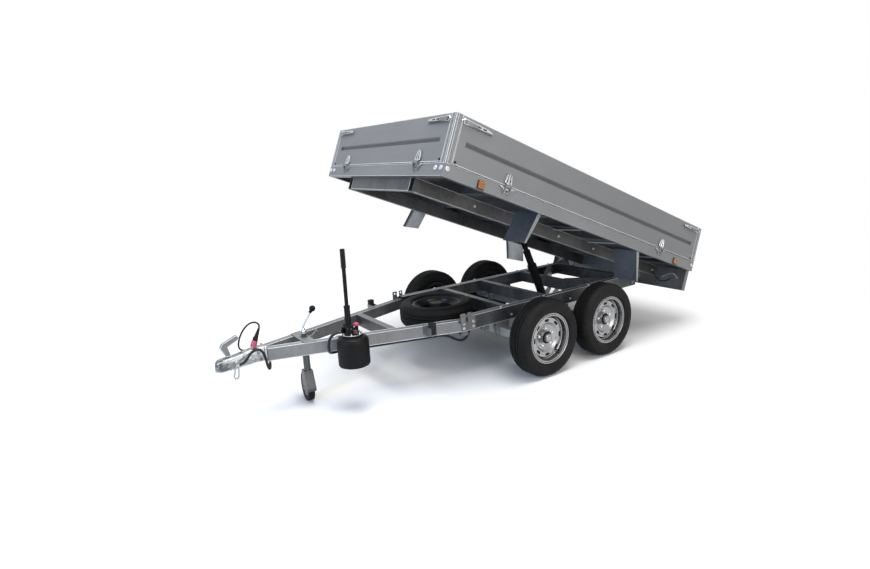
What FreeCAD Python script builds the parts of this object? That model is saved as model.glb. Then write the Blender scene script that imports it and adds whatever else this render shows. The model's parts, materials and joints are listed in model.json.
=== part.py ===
import FreeCAD, Part
import math
import os
import re

import Sketcher
from FreeCAD import Placement, Rotation, Vector

# A galvanised tandem-axle tipping trailer with drop sides, standing on its wheels and jockey wheel.
# Millimetres. +X forward along the drawbar, +Y left, +Z up. The origin is on the ground, midway
# along the overall length. The bed has its own frame: its origin is on the hinge pin's axis,
# its X runs forward along the floor and its Z runs up square to the floor.

# Driving dimensions
SIZES = {
    # Wheels
    "axles_x": -411.8,
    "axle_spacing": 630.0,
    "tyre_wall_height": 98.0,
    "tyre_width": 165.0,
    "tyre_track": 1439.0,
    "tyre_shoulder": 8.5,
    "tread_half": 42.0,
    "rim_seat_radius": 166.0,
    "rim_flange_height": 16.5,
    "rim_well_drop": 20.0,
    "rim_width": 132.0,
    "rim_thickness": 4.0,
    "rim_disc_inset": 34.0,
    "rim_dish_depth": 22.0,
    "vent_length": 34.0,
    "vent_width": 15.0,
    "vent_count": 8.0,
    "hub_radius": 47.0,
    "hub_length": 96.0,
    "hub_cap_radius": 31.0,
    "hub_cap_length": 26.0,
    "spindle_radius": 18.0,
    "spindle_length": 76.0,
    "spindle_clearance": 0.06,
    # Chassis rails and cross members
    "rail_outer": 448.0,
    "rail_bottom": 369.0,
    "rail_height": 100.0,
    "rail_width": 50.0,
    "rail_wall": 5.0,
    "rail_rear": 1095.0,
    "rail_front": 815.0,
    "cross_width": 50.0,
    "cross_wall": 4.0,
    "cross_middle_front": 500.0,
    "front_cross_x": 395.0,
    "centre_cross_x": -30.0,
    "rear_cross_inset": 72.0,
    "brace_run": 340.0,
    "brace_inner": 100.0,
    "brace_width": 44.0,
    # Drawbar and coupling
    "drawbar_front": 2062.0,
    "drawbar_bottom": 372.0,
    "drawbar_height": 80.0,
    "drawbar_width": 50.0,
    "drawbar_wall": 4.0,
    "drawbar_front_outer": 59.0,
    "drawbar_rear_outer": 452.0,
    "drawbar_cross_x": 1275.0,
    "coupling_length": 305.0,
    "coupling_width": 84.0,
    "coupling_plate": 12.0,
    "ball_radius": 25.0,
    "ball_clearance": 0.5,
    "socket_depth": 20.0,
    "socket_wall": 11.0,
    # Axles
    "axle_lead": 148.0,
    "axle_tube": 60.0,
    "axle_tube_wall": 5.0,
    "axle_height": 300.0,
    "arm_inner": 600.0,
    "arm_width": 28.0,
    "arm_end_radius": 36.0,
    "saddle_width": 130.0,
    "saddle_thickness": 8.0,
    # Tipping hinge
    "hinge_x": 1126.0,
    "hinge_drop": 14.0,
    "hinge_pin_radius": 12.5,
    "hinge_clearance": 0.05,
    "ear_radius": 28.0,
    "ear_thickness": 8.0,
    "ear_length": 96.0,
    "lug_radius": 25.0,
    "lug_width": 26.0,
    "bed_tilt": 20.8,
    # Bed
    "bed_front": 2515.0,
    "bed_rear": 246.0,
    "bed_width": 1600.0,
    "beam_bottom": 38.0,
    "beam_outer": 460.0,
    "beam_width": 50.0,
    "beam_wall": 4.0,
    "beam_front_gap": 36.0,
    "tray_bottom": 128.0,
    "tray_height": 80.0,
    "tray_flange": 40.0,
    "tray_wall": 3.0,
    "floor_thickness": 4.0,
    "bearer_width": 40.0,
    "bearer_wall": 3.0,
    "post_size": 46.0,
    "post_wall": 4.0,
    "nose_plate_drop": 86.0,
    # Boards
    "board_height": 295.0,
    "board_thickness": 25.0,
    "board_gap": 5.0,
    "board_wall": 2.0,
    "groove_height": 34.0,
    "groove_depth": 10.0,
    "groove_rise": 120.0,
    "groove_margin": 60.0,
    "board_pin_out": 13.0,
    "board_pin_radius": 6.0,
    "board_pin_clearance": 0.1,
    "knuckle_radius": 9.0,
    "knuckle_width": 30.0,
    "strap_height": 82.0,
    "strap_neck": 24.0,
    "strap_width": 76.0,
    "strap_thickness": 5.0,
    "hinge_lug_width": 8.0,
    "hinge_lug_drop": 58.0,
    "hinge_foot_width": 120.0,
    "hinge_foot_height": 34.0,
    "side_strap_front": 2020.0,
    "side_strap_rear": 285.0,
    "end_strap_y": 500.0,
    "latch_length": 226.0,
    "latch_height": 32.0,
    "latch_drop": 52.0,
    # Lamps, mudflaps and light panel
    "light_panel_drop": 180.0,
    "light_panel_depth": 42.0,
    "light_panel_wall": 3.0,
    "light_panel_inset": 25.0,
    "flap_inset": 20.0,
    "flap_width": 230.0,
    "flap_wall": 3.0,
    "flap_flange": 34.0,
    "front_flap_x": 1669.0,
    "front_flap_run": 59.0,
    "front_flap_drop": 217.0,
    "rear_flap_x": 535.0,
    "rear_flap_run": 89.0,
    "rear_flap_drop": 228.0,
    "marker_length": 56.0,
    "marker_height": 54.0,
    "marker_depth": 14.0,
    "front_marker_x": 2225.0,
    "rear_marker_x": 41.0,
    # Tipping cylinder
    "cylinder_base_x": 420.0,
    "cylinder_base_height": 250.0,
    "eye_x": 1082.0,
    "eye_height": 71.0,
    "barrel_radius": 36.0,
    "barrel_bore": 30.0,
    "stage_radius": 29.5,
    "stage_bore": 22.5,
    "rod_radius": 22.0,
    "barrel_start": 34.0,
    "barrel_end": 402.0,
    "stage_start": 187.0,
    "stage_end": 542.0,
    "rod_start": 330.0,
    "eye_radius": 24.0,
    "eye_width": 50.0,
    "cradle_gap": 84.0,
    "cradle_plate": 8.0,
    "cradle_radius": 30.0,
    "eye_plate_gap": 84.0,
    "eye_plate_span": 340.0,
    # Jockey wheel
    "jockey_x": 1800.0,
    "jockey_tube_radius": 25.0,
    "jockey_neck_radius": 17.0,
    "jockey_tube_bore": 22.5,
    "jockey_tube_bottom": 330.0,
    "jockey_tube_top": 482.0,
    "jockey_leg_radius": 22.0,
    "jockey_leg_bore": 18.0,
    "jockey_leg_top": 362.0,
    "jockey_crown_top": 224.0,
    "jockey_crown": 10.0,
    "jockey_wheel_radius": 100.0,
    "jockey_wheel_width": 40.0,
    "jockey_rim_radius": 62.0,
    "jockey_trail": 38.0,
    "jockey_turn": 84.0,
    "fork_plate": 4.0,
    "fork_gap": 5.5,
    "fork_width": 46.0,
    "clamp_radius": 31.0,
    "clamp_height": 26.0,
    "crank_knob_x": 1725.0,
    "crank_knob_height": 634.0,
    "crank_knob_radius": 20.0,
    "crank_radius": 7.0,
    "crank_spindle": 48.0,
    # Spare wheel
    "spare_x": 745.0,
    "spare_bottom": 335.0,
    "carrier_front_x": 790.0,
    "carrier_rear_x": 600.0,
    "carrier_width": 50.0,
    "carrier_thickness": 9.0,
    "carrier_post": 16.0,
    # Hand pump
    "pump_x": 1600.0,
    "pump_y": 318.0,
    "pump_radius": 101.0,
    "pump_bottom": 300.0,
    "pump_shoulder": 490.0,
    "pump_head_lead": 22.0,
    "pump_head_width": 74.0,
    "pump_head_length": 62.0,
    "pump_head_height": 62.0,
    "pump_knob_radius": 18.0,
    "lever_rise": 457.0,
    "lever_radius": 12.0,
    "grip_radius": 15.0,
    "grip_length": 120.0,
    "socket_radius": 19.0,
    "lever_socket_length": 130.0,
    "lever_lean": -0.5,
    # Rests and lugs
    "rest_x": 1076.0,
    "rest_length": 50.0,
    "rest_top": 487.0,
    "rest_height": 80.0,
    "rest_width": 38.0,
    "rest_plate": 8.0,
    "rest_cheek": 46.0,
    "lock_x": 783.0,
    "lock_width": 30.0,
    "lock_reach": 25.0,
    "lock_plate": 8.0,
    "lock_top": 505.0,
    "lock_hole_radius": 8.0,
    "hasp_x": 840.0,
    "hasp_width": 38.0,
    # Hoses and cables
    "hose_radius": 9.0,
    "safety_radius": 8.5,
    "plug_cable_radius": 5.5,
    "plug_radius": 18.0,
    "plug_length": 40.0,
    "plug_boot_length": 75.0,
}

# Places worked out from the driving dimensions
PLACES = {
    "front_axle_x": "axles_x + axle_spacing / 2",
    "rear_axle_x": "axles_x - axle_spacing / 2",
    "tyre_y": "tyre_track / 2",
    "tyre_radius": "rim_flange_radius + tyre_wall_height",
    "rim_flange_radius": "rim_seat_radius + rim_flange_height",
    "rim_well_radius": "rim_seat_radius - rim_well_drop",
    "vent_ring_radius": "rim_well_radius - 22",
    "rim_dish_radius": "rim_well_radius - 54",
    "rail_top": "rail_bottom + rail_height",
    "rail_inner": "rail_outer - rail_width",
    "rail_web": "rail_outer - rail_wall",
    "rail_rear_x": "axles_x - rail_rear",
    "rail_front_x": "axles_x + rail_front",
    "drawbar_front_x": "axles_x + drawbar_front",
    "drawbar_top": "drawbar_bottom + drawbar_height",
    "drawbar_slope": "(drawbar_rear_outer - drawbar_front_outer) / (drawbar_front - rail_front)",
    "drawbar_span": "drawbar_width * sqrt(1 + drawbar_slope ^ 2)",
    "drawbar_skin": "drawbar_wall * sqrt(1 + drawbar_slope ^ 2)",
    "bed_hinge_x": "axles_x - hinge_x",
    "hinge_height": "rail_top - hinge_drop",
    "tray_top": "tray_bottom + tray_height",
    "half_bed": "bed_width / 2",
    "light_panel_half": "half_bed - light_panel_inset",
    "flap_outer": "half_bed - flap_inset",
    "bed_length": "bed_front + bed_rear",
    "board_bottom": "tray_top + board_gap",
    "board_top": "board_bottom + board_height",
    "base_x": "axles_x - cylinder_base_x",
    "tilt": "bed_tilt * 1 deg",
    "eye_world_x": "bed_hinge_x + eye_x * cos(tilt) - eye_height * sin(tilt)",
    "eye_world_z": "hinge_height + eye_x * sin(tilt) + eye_height * cos(tilt)",
    "cylinder_run": "eye_world_x - base_x",
    "cylinder_rise": "eye_world_z - cylinder_base_height",
    "eye_distance": "sqrt(cylinder_run ^ 2 + cylinder_rise ^ 2)",
    "jockey_world_x": "axles_x + jockey_x",
    "jockey_half": "jockey_wheel_width / 2 + fork_gap",
    "pump_world_x": "axles_x + pump_x",
    "pump_head_top": "pump_shoulder + pump_head_height",
    "pump_head_x": "pump_world_x + pump_head_lead",
    "pump_beam_y": "drawbar_rear_outer - drawbar_slope * (pump_x - rail_front)",
    "rest_beam_y": "drawbar_rear_outer - drawbar_slope * (rest_x + rest_length / 2 - rail_front)",
    "jockey_beam_y": "drawbar_rear_outer - drawbar_slope * (jockey_x - rail_front)",
}

document = FreeCAD.newDocument("tipping_trailer")
sheet = document.addObject("Spreadsheet::Sheet", "Sizes")
for row, (alias, value) in enumerate(SIZES.items(), 1):
    sheet.set("A%d" % row, alias)
    sheet.set("B%d" % row, str(value))
    sheet.setAlias("B%d" % row, alias)
document.recompute()

WORD = re.compile(r"[a-z][a-z_0-9]*")
NODES = []


def bound(text):
    """An expression on the sheet's cells, from one that uses their plain names."""
    def expand(match):
        word = match.group(0)
        if word in SIZES:
            return "Sizes." + word
        if word in PLACES:
            return "(" + bound(PLACES[word]) + ")"
        return word
    return WORD.sub(expand, text)


def place(piece, at=("0", "0", "0"), axis=None, angle=None):
    """Bind a piece's position, and its turn about an axis, to the sheet."""
    if axis is not None:
        piece.Placement = Placement(Vector(0, 0, 0), Rotation(Vector(*axis), 1))
        piece.setExpression("Placement.Rotation.Angle", bound(angle))
    for letter, text in zip("xyz", at):
        piece.setExpression("Placement.Base." + letter, bound(text))
    return piece


def box(name, size, at):
    """A box from its lowest corner."""
    piece = document.addObject("Part::Box", name)
    for side, text in zip(("Length", "Width", "Height"), size):
        piece.setExpression(side, bound(text))
    return place(piece, at)


AXIS_TURNS = {"z": ((0, 0, 1), "0"), "y": ((1, 0, 0), "-90"), "x": ((0, 1, 0), "90")}


def rod(name, radius, length, at, along="z"):
    """A round bar from the centre of its first end."""
    piece = document.addObject("Part::Cylinder", name)
    piece.setExpression("Radius", bound(radius))
    piece.setExpression("Height", bound(length))
    axis, angle = AXIS_TURNS[along]
    return place(piece, at, axis, angle)


def cone(name, first, last, length, at, along="z"):
    """A tapered round bar from the centre of its first end."""
    piece = document.addObject("Part::Cone", name)
    piece.setExpression("Radius1", bound(first))
    piece.setExpression("Radius2", bound(last))
    piece.setExpression("Height", bound(length))
    axis, angle = AXIS_TURNS[along]
    return place(piece, at, axis, angle)


def ball(name, radius, at):
    """A ball from its centre."""
    piece = document.addObject("Part::Sphere", name)
    piece.setExpression("Radius", bound(radius))
    return place(piece, at)


def cut(name, base, *tools):
    """The base with each tool taken out."""
    for count, tool in enumerate(tools):
        piece = document.addObject("Part::Cut", name + "_cut%d" % count)
        piece.Base = base
        piece.Tool = tool
        base = piece
    return base


def fuse(name, *pieces):
    """Pieces welded into one solid."""
    piece = document.addObject("Part::MultiFuse", name)
    piece.Shapes = list(pieces)
    piece.Refine = True
    return piece


def group(name, *pieces):
    """Like pieces kept as separate solids."""
    piece = document.addObject("Part::Compound", name)
    piece.Links = list(pieces)
    return piece


def mirror(piece, across=(0, 1, 0)):
    """The same piece on the other side of the middle plane."""
    twin = document.addObject("Part::Mirroring", piece.Name + "_twin")
    twin.Source = piece
    twin.Normal = Vector(*across)
    return twin


def both(name, piece):
    """A piece and its mirror image on the other side."""
    return group(name, piece, mirror(piece))


def node(label, piece):
    """Mark a finished sub-part, whose label names its file."""
    piece.Label = label
    NODES.append(piece)
    return piece


def on_bed(label, piece):
    """Set a finished sub-part, drawn in the bed's frame, on the tilted bed."""
    carried = group(label + "_on_bed", piece)
    place(carried, ("bed_hinge_x", "0", "hinge_height"), (0, 1, 0), "-bed_tilt")
    return node(label, carried)


def sketch_on(body, role):
    """An empty sketch on one of a body's own origin planes."""
    plane = [item for item in body.Origin.OriginFeatures if item.Role == role][0]
    drawing = body.newObject("Sketcher::SketchObject", body.Name + "_sketch")
    drawing.AttachmentSupport = [(plane, "")]
    drawing.MapMode = "FlatFace"
    return drawing


def draw_outline(drawing, points, start=0):
    """A closed outline of straight lines, each corner bound to the sheet."""
    count = len(points)
    for index in range(count):
        first = Vector(index * 3.0, index * index, 0)
        last = Vector(index * 3.0 + 3.0, (index + 1) ** 2, 0)
        drawing.addGeometry(Part.LineSegment(first, last))
    for index in range(count):
        after = start + (index + 1) % count
        drawing.addConstraint(Sketcher.Constraint("Coincident", start + index, 2, after, 1))
    for index, corner in enumerate(points):
        for kind, text in zip(("DistanceX", "DistanceY"), corner):
            number = drawing.addConstraint(
                Sketcher.Constraint(kind, -1, 1, start + index, 1, 10.0 + index))
            drawing.setExpression("Constraints[%d]" % number, bound(text))


def plate(name, role, points, depth, at=("0", "0", "0"), middle=False):
    """A flat piece: an outline on an origin plane, padded square to it."""
    body = document.addObject("PartDesign::Body", name)
    drawing = sketch_on(body, role)
    draw_outline(drawing, points)
    pad = body.newObject("PartDesign::Pad", name + "_pad")
    pad.Profile = drawing
    pad.setExpression("Length", bound(depth))
    pad.Midplane = middle
    body.Tip = pad
    return place(body, at)


def turned(name, points):
    """A round piece: an outline of radius and height, revolved about Z."""
    body = document.addObject("PartDesign::Body", name)
    drawing = sketch_on(body, "XZ_Plane")
    draw_outline(drawing, points)
    spin = body.newObject("PartDesign::Revolution", name + "_spin")
    spin.Profile = drawing
    spin.ReferenceAxis = (drawing, ["V_Axis"])
    spin.Angle = 360
    body.Tip = spin
    return body


def tube_along_y(name, width, height, wall, half, at):
    """A box-section cross tube, centred on the middle plane. Its place is its lowest rear edge."""
    x, z = at
    outer = box(name + "_outer", (width, "2 * (%s)" % half, height), (x, "-(%s)" % half, z))
    inner = box(name + "_inner", ("%s - 2 * %s" % (width, wall), "2 * (%s) + 20" % half,
                                  "%s - 2 * %s" % (height, wall)),
                ("%s + %s" % (x, wall), "-(%s) - 10" % half, "%s + %s" % (z, wall)))
    return cut(name, outer, inner)


# Road wheels

def make_tyre(label, at, axis=(1, 0, 0), angle="-90"):
    """A tyre with a crowned tread and rounded shoulders, around its own Z axis."""
    half = "tyre_width / 2"
    bead = "rim_width / 2 - rim_thickness - 0.3"
    points = [
        ("rim_seat_radius", "-(%s)" % bead), ("rim_flange_radius + 1", "-(%s)" % bead),
        ("rim_flange_radius + 0.25 * tyre_wall_height", "-(%s) + 1" % half),
        ("tyre_radius - 0.37 * tyre_wall_height", "-(%s)" % half),
        ("tyre_radius - tyre_shoulder", "-(%s) + 20" % half), ("tyre_radius", "-tread_half"),
        ("tyre_radius", "tread_half"), ("tyre_radius - tyre_shoulder", "%s - 20" % half),
        ("tyre_radius - 0.37 * tyre_wall_height", half),
        ("rim_flange_radius + 0.25 * tyre_wall_height", "%s - 1" % half),
        ("rim_flange_radius + 1", bead), ("rim_seat_radius", bead)]
    return node(label, place(turned(label, points), at, axis, angle))


def make_rim(label, at, axis, angle, hub_bore=True):
    """A pressed steel rim with a dished disc, a ring of vents and a hub with its cap. +Z is outboard."""
    half = "rim_width / 2"
    disc = "%s - rim_disc_inset" % half
    wall = "rim_thickness"
    points = [
        ("rim_flange_radius", "-(%s)" % half),
        ("rim_flange_radius", "-(%s) + %s" % (half, wall)),
        ("rim_seat_radius - 0.3", "-(%s) + %s" % (half, wall)),
        ("rim_seat_radius - 0.3", "-(%s) + 30" % half),
        ("rim_well_radius + %s" % wall, "-(%s) + 40" % half),
        ("rim_well_radius + %s" % wall, "%s - 56" % half),
        ("rim_seat_radius - 0.3", "%s - 44" % half),
        ("rim_seat_radius - 0.3", "%s - %s" % (half, wall)),
        ("rim_flange_radius", "%s - %s" % (half, wall)),
        ("rim_flange_radius", half),
        ("rim_seat_radius - 0.3 - %s" % wall, half),
        ("rim_seat_radius - 0.3 - %s" % wall, "%s - 40" % half),
        ("rim_well_radius", "%s - 52" % half),
        ("rim_well_radius", "%s + %s - 22" % (disc, wall)),
        ("vent_ring_radius + 18", "%s" % disc),
        ("vent_ring_radius - 16", "%s" % disc),
        ("rim_dish_radius", "%s - rim_dish_depth + 8" % disc),
        ("hub_radius + 8", "%s - rim_dish_depth" % disc),
        ("hub_radius - 1", "%s - rim_dish_depth" % disc),
        ("hub_radius - 1", "%s - rim_dish_depth - %s" % (disc, wall)),
        ("rim_dish_radius", "%s - rim_dish_depth - %s + 6" % (disc, wall)),
        ("vent_ring_radius - 16", "%s - %s" % (disc, wall)),
        ("vent_ring_radius + 16", "%s - %s" % (disc, wall)),
        ("rim_well_radius", "%s - 24" % disc),
        ("rim_well_radius", "-(%s) + 40" % half),
        ("rim_seat_radius - 0.3 - %s" % wall, "-(%s) + 30" % half),
        ("rim_seat_radius - 0.3 - %s" % wall, "-(%s)" % half),
    ]
    shell = turned(label + "_shell", points)
    vents = []
    for index in range(int(SIZES["vent_count"])):
        slot = box(label + "_vent%d" % index, ("vent_width", "vent_length", "4 * rim_thickness"),
                   ("-vent_width / 2", "-vent_length / 2", "0"))
        ring = group(label + "_vent_at%d" % index, slot)
        turn = "%d * 360 / vent_count" % index
        place(ring, ("vent_ring_radius * cos((%s) * 1 deg)" % turn,
                     "vent_ring_radius * sin((%s) * 1 deg)" % turn,
                     "%s - 2.5 * rim_thickness" % disc), (0, 0, 1), turn)
        vents.append(ring)
    vented = cut(label + "_vented", shell, group(label + "_vents", *vents))
    face = "%s - rim_dish_depth" % disc
    hub = rod(label + "_hub", "hub_radius", "hub_length", ("0", "0", "%s - hub_length + 20" % face))
    cap = cone(label + "_cap", "hub_cap_radius", "hub_cap_radius - 5", "hub_cap_length",
               ("0", "0", "%s + 20" % face))
    solid = fuse(label + "_solid", vented, hub, cap)
    if hub_bore:
        bore = rod(label + "_bore", "spindle_radius + spindle_clearance", "hub_length - 14",
                   ("0", "0", "%s - hub_length + 20" % face))
        solid = cut(label + "_bored", solid, bore)
    carried = group(label + "_placed", solid)
    return node(label, place(carried, at, axis, angle))


def make_wheels():
    """Four road wheels, named by axle and side. Each hub runs on its spindle."""
    for end, axle_x in (("front", "front_axle_x"), ("rear", "rear_axle_x")):
        for side, sign, angle in (("left", "", "-90"), ("right", "-", "90")):
            at = (axle_x, sign + "(tyre_y)", "tyre_radius")
            make_tyre("tyre_%s_%s" % (end, side), at)
            make_rim("rim_%s_%s" % (end, side), at, (1, 0, 0), angle)


# Axles

def make_axle(label, axle_x):
    """A torsion axle: a square tube, two trailing arms with spindles, and a saddle under each rail."""
    tube_x = "%s + axle_lead" % axle_x
    tube = tube_along_y(label + "_tube", "axle_tube", "axle_tube", "axle_tube_wall", "arm_inner",
                        ("%s - axle_tube / 2" % tube_x, "axle_height - axle_tube / 2"))
    arm = plate(label + "_arm", "XZ_Plane", [
        ("0", "-arm_end_radius"),
        ("axle_lead", "axle_height - tyre_radius - arm_end_radius"),
        ("axle_lead", "axle_height - tyre_radius + arm_end_radius"),
        ("0", "arm_end_radius")], "arm_width",
        (axle_x, "arm_inner + arm_width", "tyre_radius"))
    wheel_end = rod(label + "_wheel_end", "arm_end_radius", "arm_width",
                    (axle_x, "arm_inner", "tyre_radius"), "y")
    tube_end = rod(label + "_tube_end", "arm_end_radius + 6", "arm_width",
                   (tube_x, "arm_inner", "axle_height"), "y")
    spindle = rod(label + "_spindle", "spindle_radius", "spindle_length",
                  (axle_x, "arm_inner + arm_width", "tyre_radius"), "y")
    saddle = plate(label + "_saddle", "XZ_Plane", [
        ("-saddle_width / 2", "0"),
        ("-axle_tube / 2 - 5", "axle_height - axle_tube / 2 - 6 - rail_bottom"),
        ("axle_tube / 2 + 5", "axle_height - axle_tube / 2 - 6 - rail_bottom"),
        ("saddle_width / 2", "0")], "saddle_thickness",
        (tube_x, "rail_outer", "rail_bottom"))
    inner_saddle = plate(label + "_inner_saddle", "XZ_Plane", [
        ("-saddle_width / 2", "0"),
        ("-axle_tube / 2 - 5", "axle_height - axle_tube / 2 - 6 - rail_bottom"),
        ("axle_tube / 2 + 5", "axle_height - axle_tube / 2 - 6 - rail_bottom"),
        ("saddle_width / 2", "0")], "saddle_thickness",
        (tube_x, "rail_inner + saddle_thickness", "rail_bottom"))
    side = fuse(label + "_side", arm, wheel_end, tube_end, spindle)
    saddles = fuse(label + "_saddles", saddle, inner_saddle)
    hollow = box(label + "_hollow", ("axle_tube - 2 * axle_tube_wall", "2 * rail_outer + 40",
                                     "axle_tube - 2 * axle_tube_wall"),
                 ("%s - axle_tube / 2 + axle_tube_wall" % tube_x, "-rail_outer - 20",
                  "axle_height - axle_tube / 2 + axle_tube_wall"))
    open_saddles = cut(label + "_open_saddles", saddles, hollow)
    node(label, fuse(label, tube, side, mirror(side), open_saddles, mirror(open_saddles)))


# Chassis

def make_chassis_rails():
    """Two channel rails, open inward."""
    outline = [
        ("rail_inner", "rail_bottom"), ("rail_outer", "rail_bottom"),
        ("rail_outer", "rail_top"), ("rail_inner", "rail_top"),
        ("rail_inner", "rail_top - rail_wall"), ("rail_web", "rail_top - rail_wall"),
        ("rail_web", "rail_bottom + rail_wall"), ("rail_inner", "rail_bottom + rail_wall")]
    rail = plate("rail", "YZ_Plane", outline, "rail_front + rail_rear", ("rail_rear_x", "0", "0"))
    node("chassis_rails", both("chassis_rails", rail))


def make_cross_members():
    """Box cross tubes seated in the rails' channels, and one between the drawbar beams."""
    height = "rail_height - 2 * rail_wall"
    low = "rail_bottom + rail_wall"
    tubes = []
    for name, x in (("front_cross", "axles_x + front_cross_x - cross_width / 2"),
                    ("centre_cross", "axles_x + centre_cross_x - cross_width / 2"),
                    ("middle_cross", "axles_x - cross_middle_front - cross_width"),
                    ("rear_cross", "rail_rear_x + rear_cross_inset")):
        tubes.append(tube_along_y(name, "cross_width", height, "cross_wall", "rail_web", (x, low)))
    rear_x = "drawbar_cross_x - cross_width / 2"
    front_x = "drawbar_cross_x + cross_width / 2"
    inner_at = "drawbar_rear_outer - drawbar_span - drawbar_slope * (%s - rail_front)"
    corners = [
        ("axles_x + %s" % rear_x, "-(%s)" % (inner_at % ("(" + rear_x + ")"))),
        ("axles_x + %s" % front_x, "-(%s)" % (inner_at % ("(" + front_x + ")"))),
        ("axles_x + %s" % front_x, inner_at % ("(" + front_x + ")")),
        ("axles_x + %s" % rear_x, inner_at % ("(" + rear_x + ")"))]
    tie = plate("drawbar_tie", "XY_Plane", corners, "drawbar_height", ("0", "0", "drawbar_bottom"))
    hollow = box("drawbar_tie_hollow", ("cross_width - 2 * cross_wall", "2 * drawbar_rear_outer",
                                        "drawbar_height - 2 * cross_wall"),
                 ("axles_x + %s + cross_wall" % rear_x, "-drawbar_rear_outer",
                  "drawbar_bottom + cross_wall"))
    tubes.append(cut("drawbar_tie_tube", tie, hollow))
    node("cross_members", group("cross_members", *tubes))


def make_rail_braces():
    """Diagonal braces from the middle cross member back to the rails."""
    start = "axles_x - cross_middle_front - cross_width"
    outline = [
        (start, "brace_inner"), (start, "brace_inner + brace_width"),
        ("%s - brace_run + brace_width" % start, "rail_inner"),
        ("%s - brace_run" % start, "rail_inner"),
        ("%s - brace_run" % start, "rail_inner - 20")]
    brace = plate("brace", "XY_Plane", outline, "rail_height", ("0", "0", "rail_bottom"))
    node("rail_braces", both("rail_braces", brace))


def beam_outline(inset, overrun):
    """The plan of the left drawbar beam, or of the hollow inside it."""
    rear = "rail_front_x - %s" % overrun
    front = "drawbar_front_x + %s" % overrun
    back = "drawbar_slope * (%s)" % overrun
    return [
        (rear, "drawbar_rear_outer + %s - %s" % (back, inset)),
        (front, "drawbar_front_outer - %s - %s" % (back, inset)),
        (front, "drawbar_front_outer - %s - drawbar_span + %s" % (back, inset)),
        (rear, "drawbar_rear_outer + %s - drawbar_span + %s" % (back, inset))]


def make_drawbar_beams():
    """Two box-section beams that run from the rails' front ends to the coupling."""
    outer = plate("beam_skin", "XY_Plane", beam_outline("0", "0"), "drawbar_height",
                  ("0", "0", "drawbar_bottom"))
    inner = plate("beam_hollow", "XY_Plane", beam_outline("drawbar_skin", "10"),
                  "drawbar_height - 2 * drawbar_wall", ("0", "0", "drawbar_bottom + drawbar_wall"))
    mirror(outer)
    node("drawbar_beams", both("drawbar_beams", cut("beam", outer, inner)))


def make_coupling():
    """A pressed ball coupling with an open socket for the ball, and its lifting handle."""
    start = "drawbar_front_x"
    half = "coupling_width / 2"
    seat = box("coupling_seat", ("coupling_plate", "2 * drawbar_front_outer", "drawbar_height"),
               (start, "-drawbar_front_outer", "drawbar_bottom"))
    socket_x = "drawbar_front_x + coupling_length - ball_radius - socket_wall - ball_clearance"
    neck = plate("coupling_neck", "XZ_Plane", [
        ("%s + coupling_plate" % start, "drawbar_bottom + 6"),
        ("%s" % socket_x, "drawbar_bottom + 4"),
        ("%s" % socket_x, "drawbar_top - 6"),
        ("%s - 70" % socket_x, "drawbar_top - 4"),
        ("%s + coupling_plate + 60" % start, "drawbar_top + 12"),
        ("%s + coupling_plate" % start, "drawbar_top + 12")], "coupling_width",
        ("0", "0", "0"), True)
    hollow = box("coupling_hollow", ("coupling_length - coupling_plate - 90",
                                     "coupling_width - 2 * 7", "drawbar_height"),
                 ("%s + coupling_plate + 6" % start, "-(%s) + 7" % half, "drawbar_bottom - 5"))
    head = "ball_radius + ball_clearance + socket_wall"
    dome = ball("coupling_dome", head, (socket_x, "0", "drawbar_bottom + socket_depth + 4"))
    dome.Angle1 = 0
    skirt = rod("coupling_skirt", head, "socket_depth", (socket_x, "0", "drawbar_bottom + 4"))
    body = fuse("coupling_body", seat, cut("coupling_open_neck", neck, hollow), dome, skirt)
    bowl = ball("coupling_bowl", "ball_radius + ball_clearance",
                (socket_x, "0", "drawbar_bottom + socket_depth + 4"))
    mouth = rod("coupling_mouth", "ball_radius + ball_clearance", "socket_depth + 60",
                (socket_x, "0", "drawbar_bottom + 4 - 60"))
    node("coupling_head", cut("coupling_head", body, mouth, bowl))
    handle = plate("handle_arm", "XZ_Plane", [
        ("0", "0"), ("30", "0"), ("56", "58"), ("44", "80"), ("-46", "118"),
        ("-58", "94"), ("16", "58")], "26", ("%s + 206" % start, "13", "drawbar_top - 4"))
    node("coupling_handle", group("coupling_handle", handle))


def make_hinge_brackets():
    """Ears on the rails' rear ends, which hold the tipping hinge's pins."""
    ears = []
    for name, inner_face in (("outer_ear", "rail_outer"), ("inner_ear", "rail_inner - ear_thickness")):
        cheek = plate(name, "XZ_Plane", [
            ("bed_hinge_x", "hinge_height - ear_radius"),
            ("bed_hinge_x + ear_length", "rail_bottom + 12"),
            ("bed_hinge_x + ear_length", "rail_top - 4"),
            ("bed_hinge_x", "hinge_height + ear_radius")], "ear_thickness",
            ("0", "%s + ear_thickness" % inner_face, "0"))
        boss = rod(name + "_boss", "ear_radius", "ear_thickness",
                   ("bed_hinge_x", inner_face, "hinge_height"), "y")
        ears.extend([cheek, boss])
    pin = rod("hinge_pin", "hinge_pin_radius", "rail_width + 2 * ear_thickness + 8",
              ("bed_hinge_x", "rail_inner - ear_thickness - 4", "hinge_height"), "y")
    node("hinge_brackets", both("hinge_brackets", fuse("hinge_ears", pin, *ears)))


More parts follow.
